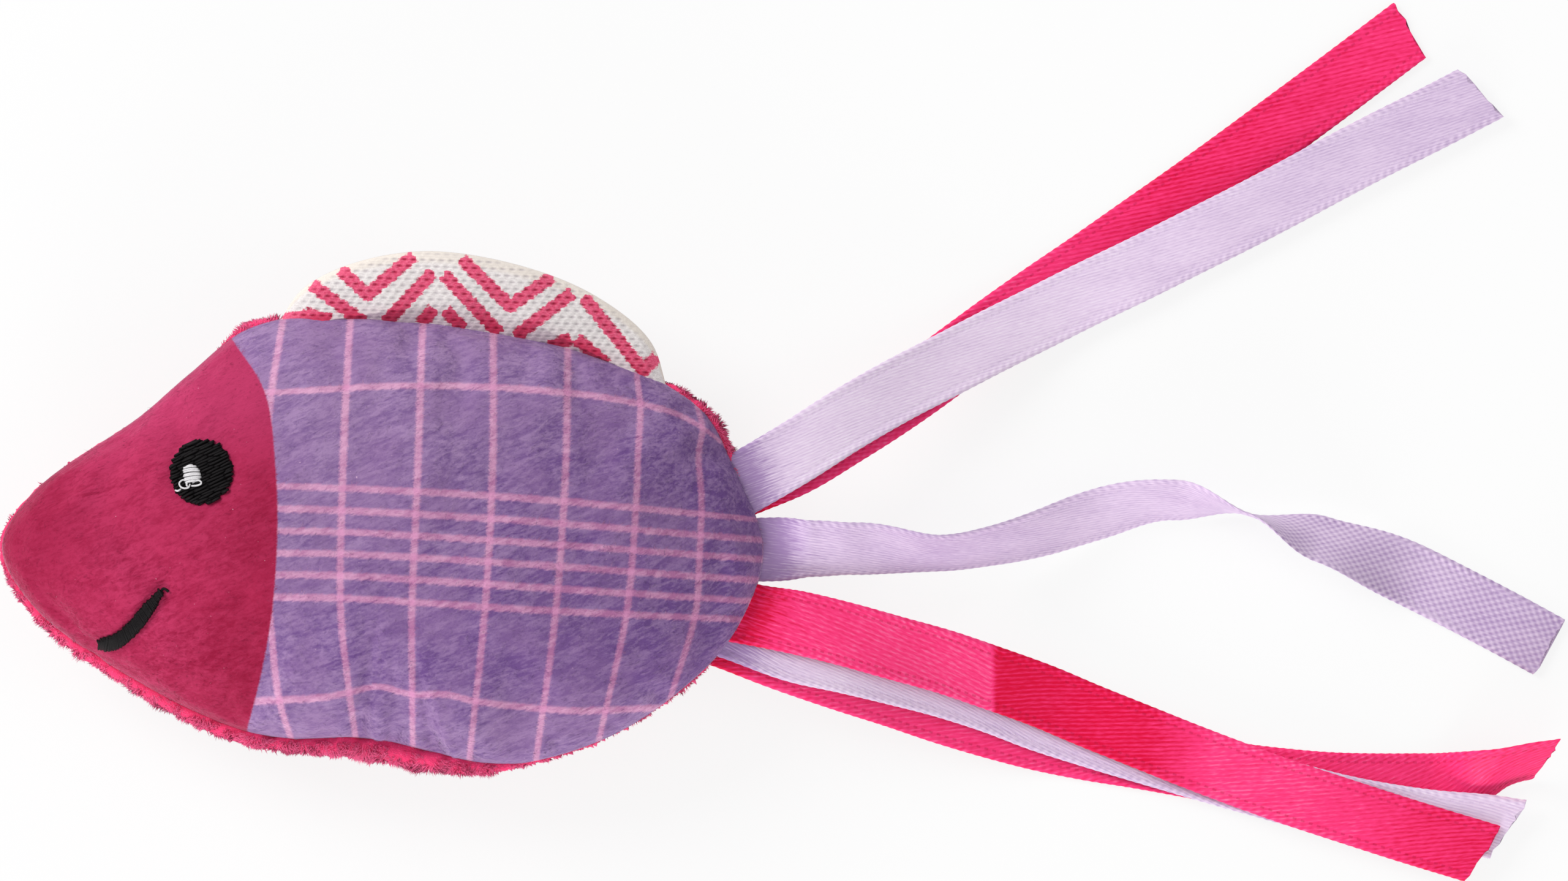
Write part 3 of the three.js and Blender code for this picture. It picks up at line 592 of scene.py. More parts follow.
def satin(name, reverse, tones, edge, rate, lines, stitching):
    """Satin: slanting floats, a painted shine and glint that come and go, painted shade at the root, and a
    woven edge with a row of stitches.
    """
    dull, shiny, glint = tones
    dull_line, bright_line, dash = lines
    f = Finish(name, 0.6 if reverse else 0.45, Specular_IOR_Level=0.12, Anisotropic=0.5)
    f.put(f.shader.inputs["Tangent"], f.add("Tangent", direction_type="UV_MAP", uv_map="weave"))
    along, across, _ = f.map("weave")
    leaning = across - f.read("lean")
    place = f.vector(along, leaning)
    floats = f.streaks(place, (0.5, rate * 0.4, 1.0), 2, 0.55)
    dashes = f.streaks(place, (1.3, rate * 0.42, 1.0), 1, 0.5)
    patch = f.streaks(place, (0.16, 0.4, 1.0), 2, 0.5)
    twill = f.sine(leaning * rate + floats * 3.5)
    side = abs(across)
    beat = along * PICOT_RATE
    stitch = f.ease(abs(side - STITCH_ROW), 0.2, 0.02) * f.ease(f.sine(beat), -0.4, 0.6)
    rope = f.ease(side, 2.5, 2.75) * f.sine(beat + side * 5.0)
    shine = f.read("shine")
    line = twill * f.ease(shine, 0.0, 1.0, dull_line, bright_line) + (dashes - 0.5) * dash
    if reverse:
        weft = across * BRICK_RATE
        odd = f.math("FLOOR", weft / math.pi) * math.pi
        warp = f.sine(along * (BRICK_RATE * 0.8) + odd)
        line = warp * abs(f.sine(weft)) * 0.4 + line * 0.4
    streak = (floats - 0.5) * f.ease(along, 8.0, 1.0, 0.5, 2.6)
    tone = shine + (streak + line) + (patch - 0.5) * 0.5 + rope * 0.15
    # Painted shade: darker near the root, where the ribbon goes into the seam under the body's edge
    tone = tone - f.ease(along, 6.0, 0.2, 0.0, 0.45) - f.ease(along, 3.4, 0.8, 0.0, 0.45)
    # Painted reflection: the shine mixes dull, shiny and glinting tones
    colour = f.mix(f.ease(tone, -0.5, 1.1), dull, shiny)
    colour = f.mix(f.ease(tone, 0.8, 1.9, 0.0, 0.8), colour, glint)
    f.colour(f.mix(stitch * stitching, colour, edge))
    f.bump(line + rope * 0.35 - stitch * 0.7, 0.035, 0.75)
    return f.material


def thread_finish(name, deep, light, roughness, specular=0.4):
    """Spun thread: short slanting fibres along it."""
    f = Finish(name, roughness, Specular_IOR_Level=specular)
    fibre = f.noise(f.stretched(f.place(), (1.0, 2.6, 1.0), (0, 0, 0.5)), 9.0, 3, 0.6)
    f.colour(f.mix(f.ease(fibre, 0.3, 0.7), deep, light))
    f.bump(fibre, 0.05, 0.8)
    return f.material


def fibre_finish(name, deep, light, scale):
    """Loose fibre or leaf: streaky noise at two sizes."""
    f = Finish(name, 0.95, Sheen_Weight=0.2)
    at = f.place()
    strand = f.noise(f.stretched(at, (1.0, 3.0, 2.0)), scale, 4, 0.65, 1.2)
    lump = f.noise(at, scale * 0.2, 2)
    f.colour(f.mix(f.ease(strand + lump * 0.4, 0.45, 0.95), deep, light))
    f.bump(strand, 0.25, 0.9)
    return f.material


# Camera, light and floor
middle_x = (IMAGE_WIDTH / 2 - ORIGIN_PIXEL[0]) / PIXELS_PER_MM
middle_y = (ORIGIN_PIXEL[1] - IMAGE_HEIGHT / 2) / PIXELS_PER_MM
distance = (IMAGE_WIDTH / PIXELS_PER_MM) * LENS / SENSOR
camera_data = bpy.data.cameras.new("camera")
camera_data.lens, camera_data.sensor_width = LENS, SENSOR
camera_data.clip_start, camera_data.clip_end = 0.01, 20.0
camera = bpy.data.objects.new("camera", camera_data)
camera.location = (middle_x * MM, middle_y * MM, (FOCUS_Z + distance) * MM)
bpy.context.scene.collection.objects.link(camera)
bpy.context.scene.camera = camera
bpy.context.scene.view_settings.view_transform = "Standard"

for name, place, target, size, power in LAMPS:
    data = bpy.data.lights.new(name, "AREA")
    data.shape, data.size, data.energy = "DISK", size, power
    lamp = bpy.data.objects.new(name, data)
    lamp.location = place
    lamp.rotation_euler = (Vector(target) - Vector(place)).to_track_quat("-Z", "Y").to_euler()
    bpy.context.scene.collection.objects.link(lamp)


def straight_ray(tree):
    """A socket that is 1 for what the camera sees, also in a mirror or through glass."""
    ray = tree.nodes.new("ShaderNodeLightPath")
    seen = ray.outputs["Is Camera Ray"]
    for kind in ("Is Glossy Ray", "Is Transmission Ray"):
        either = tree.nodes.new("ShaderNodeMath")
        either.operation = "MAXIMUM"
        tree.links.new(seen, either.inputs[0])
        tree.links.new(ray.outputs[kind], either.inputs[1])
        seen = either.outputs[0]
    return seen


world = bpy.data.worlds.new("studio")
world.use_nodes = True
bpy.context.scene.world = world
sky = world.node_tree.nodes["Background"]
sky.inputs["Color"].default_value = (1, 1, 1, 1)
strength = world.node_tree.nodes.new("ShaderNodeMapRange")
strength.inputs["To Min"].default_value = WORLD_LIGHT
strength.inputs["To Max"].default_value = 1.0
world.node_tree.links.new(straight_ray(world.node_tree), strength.inputs["Value"])
world.node_tree.links.new(strength.outputs[0], sky.inputs["Strength"])

pale = Finish("pale_floor", 0.9, Specular_IOR_Level=0.0)
pale.colour((FLOOR_GREY, FLOOR_GREY, FLOOR_GREY, 1))
glow = pale.add("Emission", {"Color": (1, 1, 1, 1), "Strength": 1.0})
white = Value(pale, straight_ray(pale.tree)) * FLOOR_WHITENESS
both = pale.add("MixShader", {0: white, 1: Value(pale, pale.shader.outputs[0]), 2: glow})
pale.put(pale.tree.nodes["Material Output"].inputs["Surface"], both)
corners = np.array([(-1, -1, 0), (1, -1, 0), (1, 1, 0), (-1, 1, 0)])
floor = piece("floor", corners * FLOOR_HALF / MM, [(0, 1, 2, 3)], pale.material)


# Ribbons. Columns are shares of half the width
RIBBON_STEPS = 380
HALF_COLUMNS = [
    -1, -0.985, -0.96, -0.92, -0.88, -0.84, -0.79, -0.74, -0.7, -0.66, -0.6, -0.48, -0.34, -0.17, 0.0,
]
RIBBON_COLUMNS = np.array(HALF_COLUMNS + [-column for column in HALF_COLUMNS[-2::-1]])
RIBBON_HALF, RIBBON_END_STEP = 0.12, 0.03
PICOT, BEAD, GROOVE = 0.025, 0.055, 0.03
BEAD_PLACE, BEAD_SPREAD, GROOVE_PLACE, GROOVE_SPREAD = 0.9, 0.06, 0.69, 0.03
CUP, CUP_LENGTH, WAVE, WAVE_LENGTH, WAVE_START = 0.07, 16.0, 0.1, 15.0, 12
RAGGED, RAGGED_LENGTH, RAGGED_REACH, SLANT_REACH = 0.14, 0.9, 1.2, 9
# How far the satin's lines climb across a ribbon for each mm along it: by colour, or x and the climb there
CLIMB = {
    "pink": [(0, 0.42)], "lilac": [(0, -0.17)], "upper_pink": [(0, -0.42)],
    "lower_pink_front": [(61.2, -0.14), (61.7, 0.42)],
}
# How brightly a ribbon's painted reflection shines along it: x and the shine there
SHINE = {
    "lower_pink_front": [
        (37, 0.8), (61.2, 1.0), (61.7, -0.16), (77, -0.06), (84, 0.95), (98, 0.8), (104, 0.35), (112, 0.25),
    ],
    "lower_pink_back": [(36, 0.8), (60, 0.8), (90, 0.7), (104, 0.65), (118, 0.55)],
    "lower_lilac": [(36, 0.5), (46, 0.85), (60, 0.6), (80, 0.5), (114, 0.8)],
    "middle_lilac": [(37, 0.45), (46, 0.42), (56, 0.28), (70, 0.58), (88, 0.45), (118, 0.25)],
    "upper_pink": [(36, 0.6), (45, 0.8), (68, 0.7), (80, 0.25), (92, 0.4), (104, 0.6)],
    "upper_lilac": [(36, 0.5), (42, 0.95), (66, 0.95), (80, 0.72), (111, 0.5)],
}
# Dull, shiny and glinting tones, which paint the satin's reflection. The lines' strengths are where it is
# dull, where it shines and of dashes
SATIN_LOOKS = {
    "pink": dict(
        tones=(srgb(216, 2, 56), srgb(255, 60, 128), srgb(255, 140, 186)), edge=srgb(170, 6, 48),
        rate=13.0, lines=(0.32, 0.2, 1.2), stitching=0.4,
    ),
    "lilac": dict(
        tones=(srgb(166, 136, 184), srgb(230, 209, 234), srgb(255, 250, 255)), edge=srgb(168, 140, 190),
        rate=21.0, lines=(0.12, 0.2, 0.8), stitching=0.12,
    ),
}
SATINS = {
    colour: [satin(colour + "_satin", False, **look), satin(colour + "_satin_reverse", True, **look)]
    for colour, look in SATIN_LOOKS.items()
}


def tail_root(root_y):
    """Where the tail's edge crosses root_y, with a gap to it, and the way the edge runs there."""
    theta = np.linspace(-math.pi / 2, math.pi / 2, 4001)
    edge = polar(body_reach(theta) + plush_roll(theta) + RIBBON_ROOT_GAP, theta)[:, :2]
    far_side = edge[:, 0] < 20
    k = int((np.abs(edge[:, 1] - root_y) + 100 * far_side).argmin())
    return edge[k], unit(edge[k + 30] - edge[k - 30])


def turn_at(twist, x):
    """A ribbon's turn in radians at each x, eased between the places of its table."""
    if not twist:
        return np.zeros_like(x)
    places, degrees = np.array(twist, float).T
    k = np.clip(np.searchsorted(places, x, side="right") - 1, 0, len(places) - 2)
    t = smoothstep(x, places[k], places[k + 1])
    return np.radians(degrees[k] + (degrees[k + 1] - degrees[k]) * t)


def ribbon_frame(plan):
    """A ribbon's middle line, the ways across and out of it, and the lengths along it from the seam."""
    root, along = tail_root(plan["root_y"])
    tucked = root - unit(np.array(plan["route"][0]) - root) * RIBBON_TUCK
    flat = spaced(centripetal(np.vstack([tucked, root, plan["route"]])), RIBBON_STEPS + 1)
    tangent = unit(np.gradient(flat, axis=0))
    square = np.stack([-tangent[:, 1], tangent[:, 0]], 1)
    gone = lengths_along(flat) - RIBBON_TUCK
    turned = smoothstep(gone, 0, RIBBON_ROOT_TURN)[:, None]
    aside = unit(along * (1 - turned) + square * turned)
    turn = turn_at(plan.get("twist"), flat[:, 0])
    fallen = np.clip((flat[:, 0] - root[0]) / RIBBON_FALL, 0, 1)
    drop = (1 + np.cos(math.pi * fallen)) / 2
    z = RIBBON_LIE + (SEAM_Z - RIBBON_LAYER - RIBBON_LIE) * drop + plan["layer"] * RIBBON_LAYER
    z = z + RIBBON_WIDTH / 2 * np.abs(np.sin(turn))
    sewn = SEAM_Z + (plan["layer"] - 1) * RIBBON_SEAM_STEP
    z = sewn + (z - sewn) * smoothstep(gone, -RIBBON_TUCK / 2, RIBBON_SPREAD)
    centre = np.column_stack([flat, z])
    side = np.column_stack([aside * np.cos(turn)[:, None], np.sin(turn)])
    face = unit(np.cross(np.gradient(centre, axis=0), side))
    return centre, side, face, lengths_along(centre) - RIBBON_TUCK


def ribbon(plan):
    centre, side, face, gone = ribbon_frame(plan)
    side, face, last = side[:, None], face[:, None], gone[-1]
    across = RIBBON_COLUMNS * RIBBON_WIDTH / 2
    outer = np.abs(RIBBON_COLUMNS)
    seed = len(plan["name"])
    # Half the thickness, with a beaded selvedge and a stitched groove beside it
    beat = np.sin(gone * PICOT_RATE)[:, None]
    late = np.sin(gone * PICOT_RATE + 2)[:, None]
    bead = BEAD * np.exp(-(((outer - BEAD_PLACE) / BEAD_SPREAD) ** 2)) * (1 + 0.5 * beat)
    groove = -GROOVE * np.exp(-(((outer - GROOVE_PLACE) / GROOVE_SPREAD) ** 2)) * (0.6 + 0.4 * late)
    half = RIBBON_HALF * np.sqrt(np.clip(1 - outer**10, 0.02, 1))[None] + bead + groove
    # The middle sheet: waved, cupped, and cut at its end
    picot = PICOT * beat * smoothstep(outer, BEAD_PLACE, 1.0) * np.sign(RIBBON_COLUMNS)
    base = centre[:, None] + (across + picot)[..., None] * side
    cup = CUP * (outer**2 - 0.4)[None] * lumps(flat_points(gone), CUP_LENGTH, 5 + seed)[:, None]
    wave = WAVE * lumps(base.reshape(-1, 3) * [1, 1, 0], WAVE_LENGTH, 6).reshape(cup.shape)
    ahead = unit(np.gradient(centre, axis=0))
    ragged = RAGGED * lumps(flat_points(across), RAGGED_LENGTH, seed)
    cut = ragged[None] * smoothstep(gone, last - RAGGED_REACH, last)[:, None]
    cut = cut + plan.get("slant", 0) * RIBBON_COLUMNS * smoothstep(gone, last - SLANT_REACH, last)[:, None]
    base = base + cut[..., None] * ahead[:, None]
    base = base + (wave * smoothstep(gone, 0, WAVE_START)[:, None] + cup)[..., None] * face
    top, low = base + half[..., None] * face, base - half[..., None] * face
    rings = np.concatenate([top, low[:, ::-1]], axis=1)
    rings = np.insert(rings, len(rings) - 1, rings[-1] - RIBBON_END_STEP * ahead[-1], axis=0)
    marks = np.insert(gone, len(gone) - 1, last - RIBBON_END_STEP)
    rows, count = rings.shape[:2]
    corners = grid(rows, count)
    lower = corners[0] % count >= len(across)
    ends = [np.arange(count).tolist(), ((rows - 1) * count + np.arange(count))[::-1].tolist()]
    faces = np.stack(corners, 1).tolist() + ends
    vertices = rings.reshape(-1, 3)
    finishes = SATINS[plan["colour"]]
    made = piece("ribbon_" + plan["name"] + "_satin", vertices, faces, finishes, lower.tolist() + [0, 0])
    columns = np.concatenate([across, across[::-1]])
    flat_map(made, "weave", np.stack([np.repeat(marks, count), np.tile(columns, rows)], 1))
    climb = CLIMB.get(plan["name"], CLIMB[plan["colour"]])
    climb = from_table(climb, np.interp(marks, gone, centre[:, 0]))
    lean = np.cumsum(climb * np.diff(marks, prepend=marks[0]))
    point_values(made, "lean", np.repeat(lean, count))
    # The painted reflection along the ribbon
    point_values(made, "shine", from_table(SHINE[plan["name"]], vertices[:, 0]))
    free = gone >= 0
    root = centre[free][0] * MM
    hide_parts("ribbon_" + plan["name"])
    root[0] - 0.0002
    root[0] + 0.005
    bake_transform(made)
    (centre[free][::4] * MM).tolist()


for plan in RIBBONS:
    ribbon(plan)


# Body
BODY_SPOKES, BODY_RINGS, INNER_RINGS = 440, 84, 12
body_theta = turns(BODY_SPOKES)


def body_ring(z, share, inset=0.0, grow=0.0, theta=body_theta):
    return polar((body_reach(theta) + grow - inset) * share, theta, z)


def dome_shares(rings, high=1.0):
    shares = np.sin(np.arange(1, rings) / rings * math.pi / 2)
    return shares[shares < high]


# Cloth simulation, on a copy of this many times the size
SIM_SCALE = 8.0
SIM_FRAMES = 22
SIM_VOXEL = 0.0105
SIM_SPOKES, SIM_RINGS = 120, 16
SIM_SEAM_HEIGHT, SIM_SEAM_SHARE = 1.3, 0.955
SIM_CLOTH = dict(
    quality=6, mass=0.3, tension_stiffness=18, compression_stiffness=18, shear_stiffness=8,
    bending_stiffness=0.35, use_pressure=True, uniform_pressure_force=4.0, shrink_min=-0.045,
    vertex_group_mass="seam",
)
MOST_WRINKLE = 0.45
SIM_SMOOTHING = 10


def inflated():
    """Blows the sewn shell up as cloth. Returns its points and faces before, and how far each point moved."""
    theta = turns(SIM_SPOKES)
    shares = dome_shares(SIM_RINGS)
    rings = [pole(SEAM_Z + FRONT_CROWN)]
    rings += [body_ring(SEAM_Z + FRONT_CROWN * swell(s), s, theta=theta) for s in shares]
    rings += [body_ring(SEAM_Z, 1.0, theta=theta)]
    rings += [body_ring(SEAM_Z - BACK_CROWN * swell(s), s, theta=theta) for s in shares[::-1]]
    rings += [pole(SEAM_Z - BACK_CROWN)]
    vertices, faces = loft(rings)
    shell = piece("shell", vertices * SIM_SCALE, faces, [])
    before = remeshed(shell, SIM_VOXEL) / (SIM_SCALE * MM)
    share = np.hypot(before[:, 0], before[:, 1]) / body_reach(np.arctan2(before[:, 1], before[:, 0]))
    sewn = (np.abs(before[:, 2] - SEAM_Z) < SIM_SEAM_HEIGHT) & (share > SIM_SEAM_SHARE)
    shell.vertex_groups.new(name="seam").add(np.nonzero(sewn)[0].tolist(), 1.0, "REPLACE")
    cloth = shell.modifiers.new("cloth", "CLOTH")
    for setting, value in SIM_CLOTH.items():
        setattr(cloth.settings, setting, value)
    cloth.settings.effector_weights.gravity = 0
    cloth.collision_settings.use_collision = False
    cloth.point_cache.frame_start, cloth.point_cache.frame_end = 1, SIM_FRAMES
    scene = bpy.context.scene
    for number in range(1, SIM_FRAMES + 1):
        scene.frame_set(number)
    done = shell.evaluated_get(bpy.context.evaluated_depsgraph_get()).to_mesh()
    after = np.array([v.co for v in done.vertices]) / (SIM_SCALE * MM)
    polygons = [tuple(p.vertices) for p in shell.data.polygons]
    scene.frame_set(1)
    bpy.data.objects.remove(shell)
    return before, polygons, after - before


def moved_by(before, polygons, moves, points):
    """The moves of a surface, read at points near it."""
    tree = BVHTree.FromPolygons(before.tolist(), polygons)
    found = np.zeros((len(points), 3))
    for i, point in enumerate(points):
        place, _, index, _ = tree.find_nearest(Vector(point))
        corner = list(polygons[index])
        gap = np.linalg.norm(before[corner] - np.array(place), axis=1)
        weight = 1 / (gap + 1e-4)
        found[i] = (moves[corner] * weight[:, None]).sum(0) / weight.sum()
    return found


sim = inflated()

# Angle in degrees and depth of each fold, and the folds' width and reach. The puckers are as in the solid,
# the wrinkles are the smaller ones between them, and the creases run further in
PUCKERS = [(16, 0.6), (25, 0.35), (260, 0.6), (282, 0.65), (302, 0.35), (332, 0.45)], 1.8, 7.0
WRINKLES = [
    (20, 0.3), (254, 0.24), (270, 0.3), (290, 0.32), (311, 0.26), (322, 0.25), (350, 0.25), (143, 0.12),
    (158, 0.1), (196, 0.12), (214, 0.12), (236, 0.14),
], 1.0, 5.0
CREASES = [(259.5, 0.5), (283.5, 0.55), (272, 0.2), (18, 0.25)], 1.3, 14.0
GATHER_START, GATHER_SLOPE = 0.9, 6
EYE_DENT, MOUTH_DENT = 0.55, 0.45
FILLING_LUMPS = (0.14, 13.0, 3), (0.05, 3.4, 4)
# How far the front cloth hangs over the seam, by angle in degrees: over the fin's base and the ribbons'
# roots. It is drawn in at the belly, where the plush rolls up
OVERHANG = [
    (0, 0.25), (11, 0.25), (17, 0.1), (30, 0.15), (36, 0.5), (110, 0.5), (118, 0.2), (126, 0.1),
    (200, 0.0), (222, -0.25), (243, -0.15), (256, -0.6), (270, -0.85), (284, -0.8), (294, -0.3), (302, 0.1),
    (328, 0.25), (340, 0.3), (360, 0.25),
]


def gathered(theta, reach, inward, places, width, far):
    """How far the cloth is drawn in: a valley at each place with a ridge on each side of it."""
    fade = smoothstep(inward, 0.0, GATHER_START) * np.exp(-((2 * inward / far) ** 2))
    drawn = np.zeros(len(theta))
    for angle, depth in places:
        apart = (theta - math.radians(angle) + math.pi) % TAU - math.pi
        across = (apart * reach / width) ** 2
        drawn += fade * depth * (1 - 2 * across) * np.exp(-across)
    return drawn


def eye_share(points):
    """How far points are from the eye's middle, where 1 is its edge."""
    x, y = points[:, 0] - EYE_CENTRE[0], points[:, 1] - EYE_CENTRE[1]
    return np.hypot(x / (EYE_WIDTH / 2), y / (EYE_HEIGHT / 2))


def mouth_gap(points):
    mouth = centripetal(MOUTH_LINE)[::6]
    return np.min(np.linalg.norm(points[:, None, :2] - mouth[None], axis=2), axis=1)


def front_surface(points, theta, share):
    """Moves the front cloth: folds at the seam, dents under the stitches and an uneven filling."""
    reach = body_reach(theta)
    inward = reach * (1 - share)
    lower = np.zeros(len(points))
    for folds in (PUCKERS, WRINKLES, CREASES):
        lower += gathered(theta, reach, inward, *folds)
    lower += EYE_DENT * (1 - smoothstep(eye_share(points), 0.8, 1.6))
    lower += MOUTH_DENT * (1 - smoothstep(mouth_gap(points), 0.35, 2.0))
    calm = smoothstep(inward, 0.0, 3.0)
    lower += calm * uneven(points, *FILLING_LUMPS)
    steep = share**GATHER_SLOPE
    return points - lower[:, None] * polar(steep, theta, 1 - steep)


def wrinkles_of(moves, theta, share):
    """What is left of the moves when their slow swell is taken out, and no more than a cap."""
    rounds = [np.ones_like(theta)]
    for k in range(1, 6):
        rounds += [np.cos(k * theta), np.sin(k * theta)]
    slow = np.stack([r * share**p for r in rounds for p in (0, 2, 4, 8)], 1)
    left = moves - slow @ np.linalg.lstsq(slow, moves, rcond=None)[0]
    length = np.linalg.norm(left, axis=1)
    return left * np.minimum(1, MOST_WRINKLE / np.maximum(length, TINY))[:, None]


def evened(moves, rounds):
    """Moves over the rings of the front cloth, smoothed between neighbours."""
    middle = np.repeat(moves[:1], BODY_SPOKES, axis=0)
    cells = np.concatenate([middle, moves[1:]]).reshape(rounds + 1, BODY_SPOKES, 3)
    for _ in range(SIM_SMOOTHING):
        beside = np.roll(cells, 1, axis=1) + np.roll(cells, -1, axis=1)
        cells[1:-1] = 0.5 * cells[1:-1] + 0.125 * (beside[1:-1] + cells[:-2] + cells[2:])
    return np.concatenate([cells[0, :1], cells[1:].reshape(-1, 3)])


def overhang(theta):
    return by_angle(OVERHANG, theta)


def drawn_in(theta):
    return np.minimum(overhang(theta), 0)


def along_line(line, places):
    """The second coordinate of a smooth line, read at first coordinates, and straight beyond its ends."""
    curve = centripetal(line, per_span=12)
    low, high = curve[1] - curve[0], curve[-1] - curve[-2]
    curve = np.vstack([curve[0] - low * 40 / low[0], curve, curve[-1] + high * 40 / high[0]])
    return np.interp(places, curve[:, 0], curve[:, 1])


def between(lines, k):
    """For each point, the line number k and the one after it."""
    return np.take_along_axis(lines, k[None], 0)[0], np.take_along_axis(lines, k[None] + 1, 0)[0]


def printed(x, y):
    """Where points are on the print: columns and rows of the plaid, and how far behind the head's edge."""
    lines = np.array([along_line(np.array(line)[::-1, ::-1], y) for line in PLAID_UPRIGHTS])
    k = np.clip((x[None] > lines).sum(0) - 1, 0, len(lines) - 2)
    left, right = between(lines, k)
    u = k + (x - left) / (right - left)
    levels = np.array([along_line(line, x) for line in PLAID_LEVELS])
    k = np.clip((y[None] < levels).sum(0) - 1, 0, len(levels) - 2)
    upper, under = between(levels, k)
    rows = np.array(PLAID_LEVEL_PLACES)
    v = rows[k] + (rows[k + 1] - rows[k]) * (y - upper) / (under - upper)
    return np.stack([u, v], 1), x - along_line(np.array(GILL)[::-1, ::-1], y)


# The front cloth's turned edge: height from the seam, inset, and what the edge follows
FRONT_LIP = [(0.0, -0.05, overhang), (-0.25, 0.15, overhang), (-0.1, 0.7, drawn_in), (EDGE, 1.2, drawn_in)]


def front_panel():
    low = SEAM_Z + EDGE
    shares = np.concatenate([dome_shares(BODY_RINGS), [1.0]])
    domes = [body_ring(low + FRONT_CROWN * swell(s), s) for s in shares]
    points = np.vstack([pole(low + FRONT_CROWN)] + domes)
    theta = np.concatenate([[0], np.tile(body_theta, len(shares))])
    share = np.concatenate([[0], np.repeat(shares, BODY_SPOKES)])
    if sim:
        moves = evened(wrinkles_of(moved_by(*sim, points), theta, share), len(shares))
        points = points + moves * (smoothstep(1 - share, 0, 0.05) * smoothstep(share, 0.25, 0.75))[:, None]
    points = front_surface(points, theta, share)
    points[:, :2] += polar(overhang(theta) * share**12, theta)[:, :2]
    rings = np.split(points, np.cumsum([1] + [BODY_SPOKES] * (len(shares) - 1)))
    rings += [body_ring(SEAM_Z + z, 1.0, inset, grow(body_theta)) for z, inset, grow in FRONT_LIP]
    rings += [body_ring(low, 1.0, SEAM_ALLOWANCE), body_ring(low + FRONT_CLOTH, 1.0, SEAM_ALLOWANCE)]
    inner = FRONT_CROWN - FRONT_CLOTH
    lip = share_at_swell(FRONT_CLOTH / inner)
    inner_shares = np.concatenate([[lip], dome_shares(INNER_RINGS, lip)[::-1]])
    rings += [body_ring(low + inner * swell(s), s, FRONT_CLOTH) for s in inner_shares]
    rings += [pole(low + inner)]
    vertices, faces = loft(rings)
    made = piece("front_velour", vertices, faces, velour_finish)
    places, gill = printed(vertices[:, 0], vertices[:, 1])
    flat_map(made, "print", places)
    point_values(made, "gill", gill)
    point_values(made, "tone", np.full(len(vertices), 0.5))
    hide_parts("front_panel")
    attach(made, "fish")
    return vertices, faces


velour_finish = velour()
front_vertices, front_faces = front_panel()
front_tree = BVHTree.FromPolygons(front_vertices.tolist(), front_faces)


def front_height(x, y):
    place, _, _, _ = front_tree.ray_cast(Vector((x, y, 60)), Vector((0, 0, -1)))
    return place[2]


def on_front(flat, lift):
    """Points at a height above the front cloth."""
    return np.column_stack([flat, np.array([front_height(x, y) for x, y in flat]) + lift])


PILE_FIBRES = 26000
FIBRE_RADIUS, FIBRE_RIDGE, FIBRE_DEPTH = 0.036, 0.8, 0.04
FIBRE_RISE, FIBRE_LENGTH, FIBRE_TONE, MOST_TONE = (0.11, 0.04), (0.35, 0.7), (0.62, 0.35), 1.4
NAP_ANGLE, NAP_SPREAD, NAP_SWIRL = 0.33, 0.35, (0.7, 2.2, 61)
CLEAR_OF_EYE, CLEAR_OF_MOUTH = 1.08, 0.85


def velour_pile():
    """Short fibres that lie along the nap of the front cloth. Each has the print at its root."""
    quads = np.array(front_faces[BODY_SPOKES : BODY_SPOKES * BODY_RINGS])
    a, b, c, d = (front_vertices[quads[:, k]] for k in range(4))
    normal = np.cross(c - a, d - b)
    area = np.linalg.norm(normal, axis=1)
    pick = RNG.choice(len(quads), PILE_FIBRES, p=area / area.sum())
    s, t = RNG.uniform(size=(2, PILE_FIBRES, 1))
    root = (a[pick] * (1 - s) + b[pick] * s) * (1 - t) + (d[pick] * (1 - s) + c[pick] * s) * t
    keep = (eye_share(root) > CLEAR_OF_EYE) & (mouth_gap(root) > CLEAR_OF_MOUTH)
    root, out = root[keep], (normal / area[:, None])[pick][keep]
    out = out * np.sign(out[:, 2:])
    count = len(root)
    angle = NAP_ANGLE + uneven(root, NAP_SWIRL) + RNG.normal(0, NAP_SPREAD, count)
    lean = polar(1.0, angle)
    lean -= square_to(lean, out)
    lean = unit(lean + out * RNG.normal(*FIBRE_RISE, count)[:, None])
    side = np.cross(out, lean) * FIBRE_RADIUS
    low = root - out * FIBRE_DEPTH
    tip = low + lean * RNG.uniform(*FIBRE_LENGTH, count)[:, None]
    points = np.stack([low - side, low + side, low + out * FIBRE_RIDGE * FIBRE_RADIUS, tip], 1).reshape(-1, 3)
    faces = (np.arange(count) * 4)[:, None, None] + np.array([(0, 1, 3), (1, 2, 3), (2, 0, 3), (0, 2, 1)])
    normals = np.repeat(out, 4, axis=0)
    made = piece("front_velour_pile", points, faces.reshape(-1, 3).tolist(), velour_finish, normals=normals)
    places, gill = printed(root[:, 0], root[:, 1])
    flat_map(made, "print", np.repeat(places, 4, axis=0))
    point_values(made, "gill", np.repeat(gill, 4))
    point_values(made, "tone", np.repeat(np.clip(RNG.normal(*FIBRE_TONE, count), 0, MOST_TONE), 4))
    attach(made, "fish")


velour_pile()


# Plush back: cloth and pile. Angle in degrees and how far the pile stands out there beyond the front cloth
RIM_PILE = [
    (0, 0.1), (10, 0.15), (14, 0.55), (22, 0.65), (31, 0.5), (36, 0.2), (112, 0.1), (118, 0.45), (122, 0.7),
    (126, 0.3), (131, 0.05), (168, 0.05), (180, 0.25), (188, 0.65), (200, 0.95), (215, 0.95), (232, 1.05),
    (255, 1.15), (275, 1.2), (292, 0.75), (303, 0.25), (322, 0.1), (338, 0.35), (350, 0.1), (360, 0.1),
]
BACK_SPOKES, BACK_RINGS, BACK_INNER_RINGS = 260, 40, 10
BACK_INNER = BACK_CROWN - BACK_CLOTH - 0.2
CLOTH_INSET = 0.9
PILE_LENGTH = 1.7
PILE_WIDTH, RIM_WIDTH = (0.26, 0.4), (0.04, 0.075)
TUFTS, RIM_TUFTS = 8600, 8600
INNER_TUFTS, RIM_SHARE = 0.62, 0.93
TUFT_POINTS = 7
